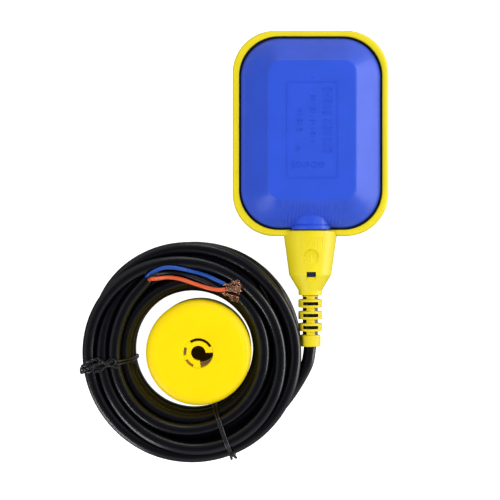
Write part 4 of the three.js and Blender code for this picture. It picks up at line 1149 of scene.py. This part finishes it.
c = len(angles)
faces = grid_faces(len(ys), c)
faces.append(tuple(range(c))[::-1])
faces.append(tuple(range((len(ys) - 1) * c, len(ys) * c)))
nose = make("nose", verts, faces, "frame_yellow")
for z in (24.7, 17.3):
    boolean(rim, revolve("bc", [(0.4, -40), (10.3, -40), (10.3, -50.35), (0.4, -50.35)], (0, z), 'y', "frame_yellow", seg=144, closed=False))
boolean(rim, nose, 'UNION')
hollow = revolve("h", [(0.4, -45), (8.8, -45), (8.8, -75), (3.9, -75.4), (3.9, -90), (0.4, -90)], (0, MID), 'y', "frame_yellow", seg=72, closed=False)
boolean(rim, hollow)
for z0, z1 in ((27.0, 45.0), (-5.0, 15.0)):
    boolean(rim, block("w", -2.4, 2.4, -74.5, -71.85, z0, z1))
for z0, z1 in ((29.95, 45.0), (-5.0, 12.05)):
    boolean(rim, block("w", -2.4, 2.4, -77.6, -74.3, z0, z1))
finish_mesh(rim, "frame_yellow", 30)
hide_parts("bumper_frame")
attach(rim, "float")

# ---------------------------------------------------------------- counterweight
H = 34.0
prof = [(7.6, 17.15), (7.6, 33.55), (7.75, 33.88), (8.1, 34.0), (14.0, 33.97), (22.0, 34.0)]
for k in range(1, 13):
    a = math.radians(90 * k / 12)
    prof.append((22.0 + 5.2 * math.sin(a), 29.0 + 5.0 * math.cos(a)))
prof += [(27.2, 22.0), (27.2, 17.5), (27.0, 17.15), (25.2, 17.15), (25.2, 29.0), (23.6, 31.8), (9.2, 31.8), (9.2, 17.15)]
w_up = revolve("weight_upper_moulded", prof, WEIGHT, 'z', "weight_yellow", seg=160, sharp=30)
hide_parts("weight_upper_shell")
w_lo = revolve("weight_lower_moulded", [(r, H - z) for r, z in prof], WEIGHT, 'z', "weight_yellow", seg=160, sharp=30)
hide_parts("weight_lower_shell")
for o in (w_up, w_lo):
    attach(o, "counterweight")


def lock_outline(inset=0.0):
    out = []
    spans = [(2, 28, 7.64), (28, 126, 6.2), (126, 156, 7.64), (156, 189, 6.2), (189, 209, 7.64), (209, 248, 6.2), (248, 280, 7.64)]
    for a, b, r in spans:
        n = max(3, int((b - a) / 2.5))
        for k in range(n + 1):
            t = math.radians(a + 0.35 + (b - a - 0.7) * k / n)
            out.append((r * math.cos(t), r * math.sin(t)))
    # the open end's rounded tip and the thumb notch
    for k in range(0, 91):
        t = math.radians(280 - 278 * k / 90)
        out.append((3.75 * math.cos(t), 3.75 * math.sin(t)))
    p = np.array(out)
    if inset:
        e = np.roll(p, -1, 0) - np.roll(p, 1, 0)
        e /= np.maximum(np.linalg.norm(e, axis=1), 1e-9)[:, None]
        p = p + inset * np.c_[-e[:, 1], e[:, 0]]
    return p


def at(p, z):
    return np.c_[p[:, 0] + WEIGHT[0], p[:, 1] + WEIGHT[1], np.full(len(p), z)]


lock = loft("cable_lock_ring_moulded", [at(lock_outline(0.12), 30.6), at(lock_outline(0.0), 30.75), at(lock_outline(0.0), 33.55),
                                        at(lock_outline(0.16), 33.8)], "weight_yellow", sharp=35)
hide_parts("cable_lock_ring")
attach(lock, "lock_ring")

# ---------------------------------------------------------------- carried-over pieces: finish only
for name, o in frame["nodes"].items():
    if o.hide_render:
        continue
    # the gland body takes the darker blue with painted shade in place of its own slot
    slot = "gland_painted_shade_blue" if name == "gland_body" else slot_of[name]
    o.data.materials.clear()
    o.data.materials.append(M[slot])
    for p in o.data.polygons:
        p.material_index = 0
        p.use_smooth = True
    o.data.set_sharp_from_angle(angle=math.radians(40))

# ---------------------------------------------------------------- floor
fv = [(-9000, -9000, -0.12), (9000, -9000, -0.12), (9000, 9000, -0.12), (-9000, 9000, -0.12)]
floor = bpy.data.objects.new("floor", bpy.data.meshes.new("floor"))
floor.data.from_pydata([(x * MM, y * MM, z * MM) for x, y, z in fv], [], [(0, 1, 2, 3)])
coll.objects.link(floor)
M["floor"] = material("floor", (0.42, 0.42, 0.42), 0.8, spec=0.2, var=0.01, var_scale=4.0, rough_var=0.03)
fb = M["floor"].node_tree.nodes["Principled BSDF"]
fb.inputs["Emission Color"].default_value = (1, 1, 1, 1)
fb.inputs["Emission Strength"].default_value = 1.08
# painted shade: the floor's glow and colour fall to a dark brown inside the counterweight's bore
fn, fl = M["floor"].node_tree.nodes, M["floor"].node_tree.links
ftc, fdist, painted_shade_map = fn.new("ShaderNodeTexCoord"), fn.new("ShaderNodeVectorMath"), fn.new("ShaderNodeMapRange")
fdist.operation = 'DISTANCE'
fdist.inputs[1].default_value = ((WEIGHT[0] - 1.0) * MM, (WEIGHT[1] - 2.0) * MM, -0.12 * MM)
painted_shade_map.inputs["From Min"].default_value = 0.0104
painted_shade_map.inputs["From Max"].default_value = 0.0135
painted_shade_map.inputs["To Min"].default_value = 0.0
painted_shade_map.inputs["To Max"].default_value = 1.08
fl.new(ftc.outputs["Object"], fdist.inputs[0])
fl.new(fdist.outputs["Value"], painted_shade_map.inputs["Value"])
fl.new(painted_shade_map.outputs["Result"], fb.inputs["Emission Strength"])
painted_shade_mix = fn.new("ShaderNodeMix")
painted_shade_mix.data_type = 'RGBA'
# dark brown of the painted shade in the bore
painted_shade_mix.inputs["A"].default_value = (0.07, 0.045, 0.03, 1)
old = fb.inputs["Base Color"].links[0]
base_socket = old.from_socket
fl.remove(old)
fl.new(base_socket, painted_shade_mix.inputs["B"])
fl.new(painted_shade_map.outputs["Result"], painted_shade_mix.inputs["Factor"])
fl.new(painted_shade_mix.outputs["Result"], fb.inputs["Base Color"])
floor.visible_diffuse = False
floor.visible_glossy = False
floor.data.materials.append(M["floor"])
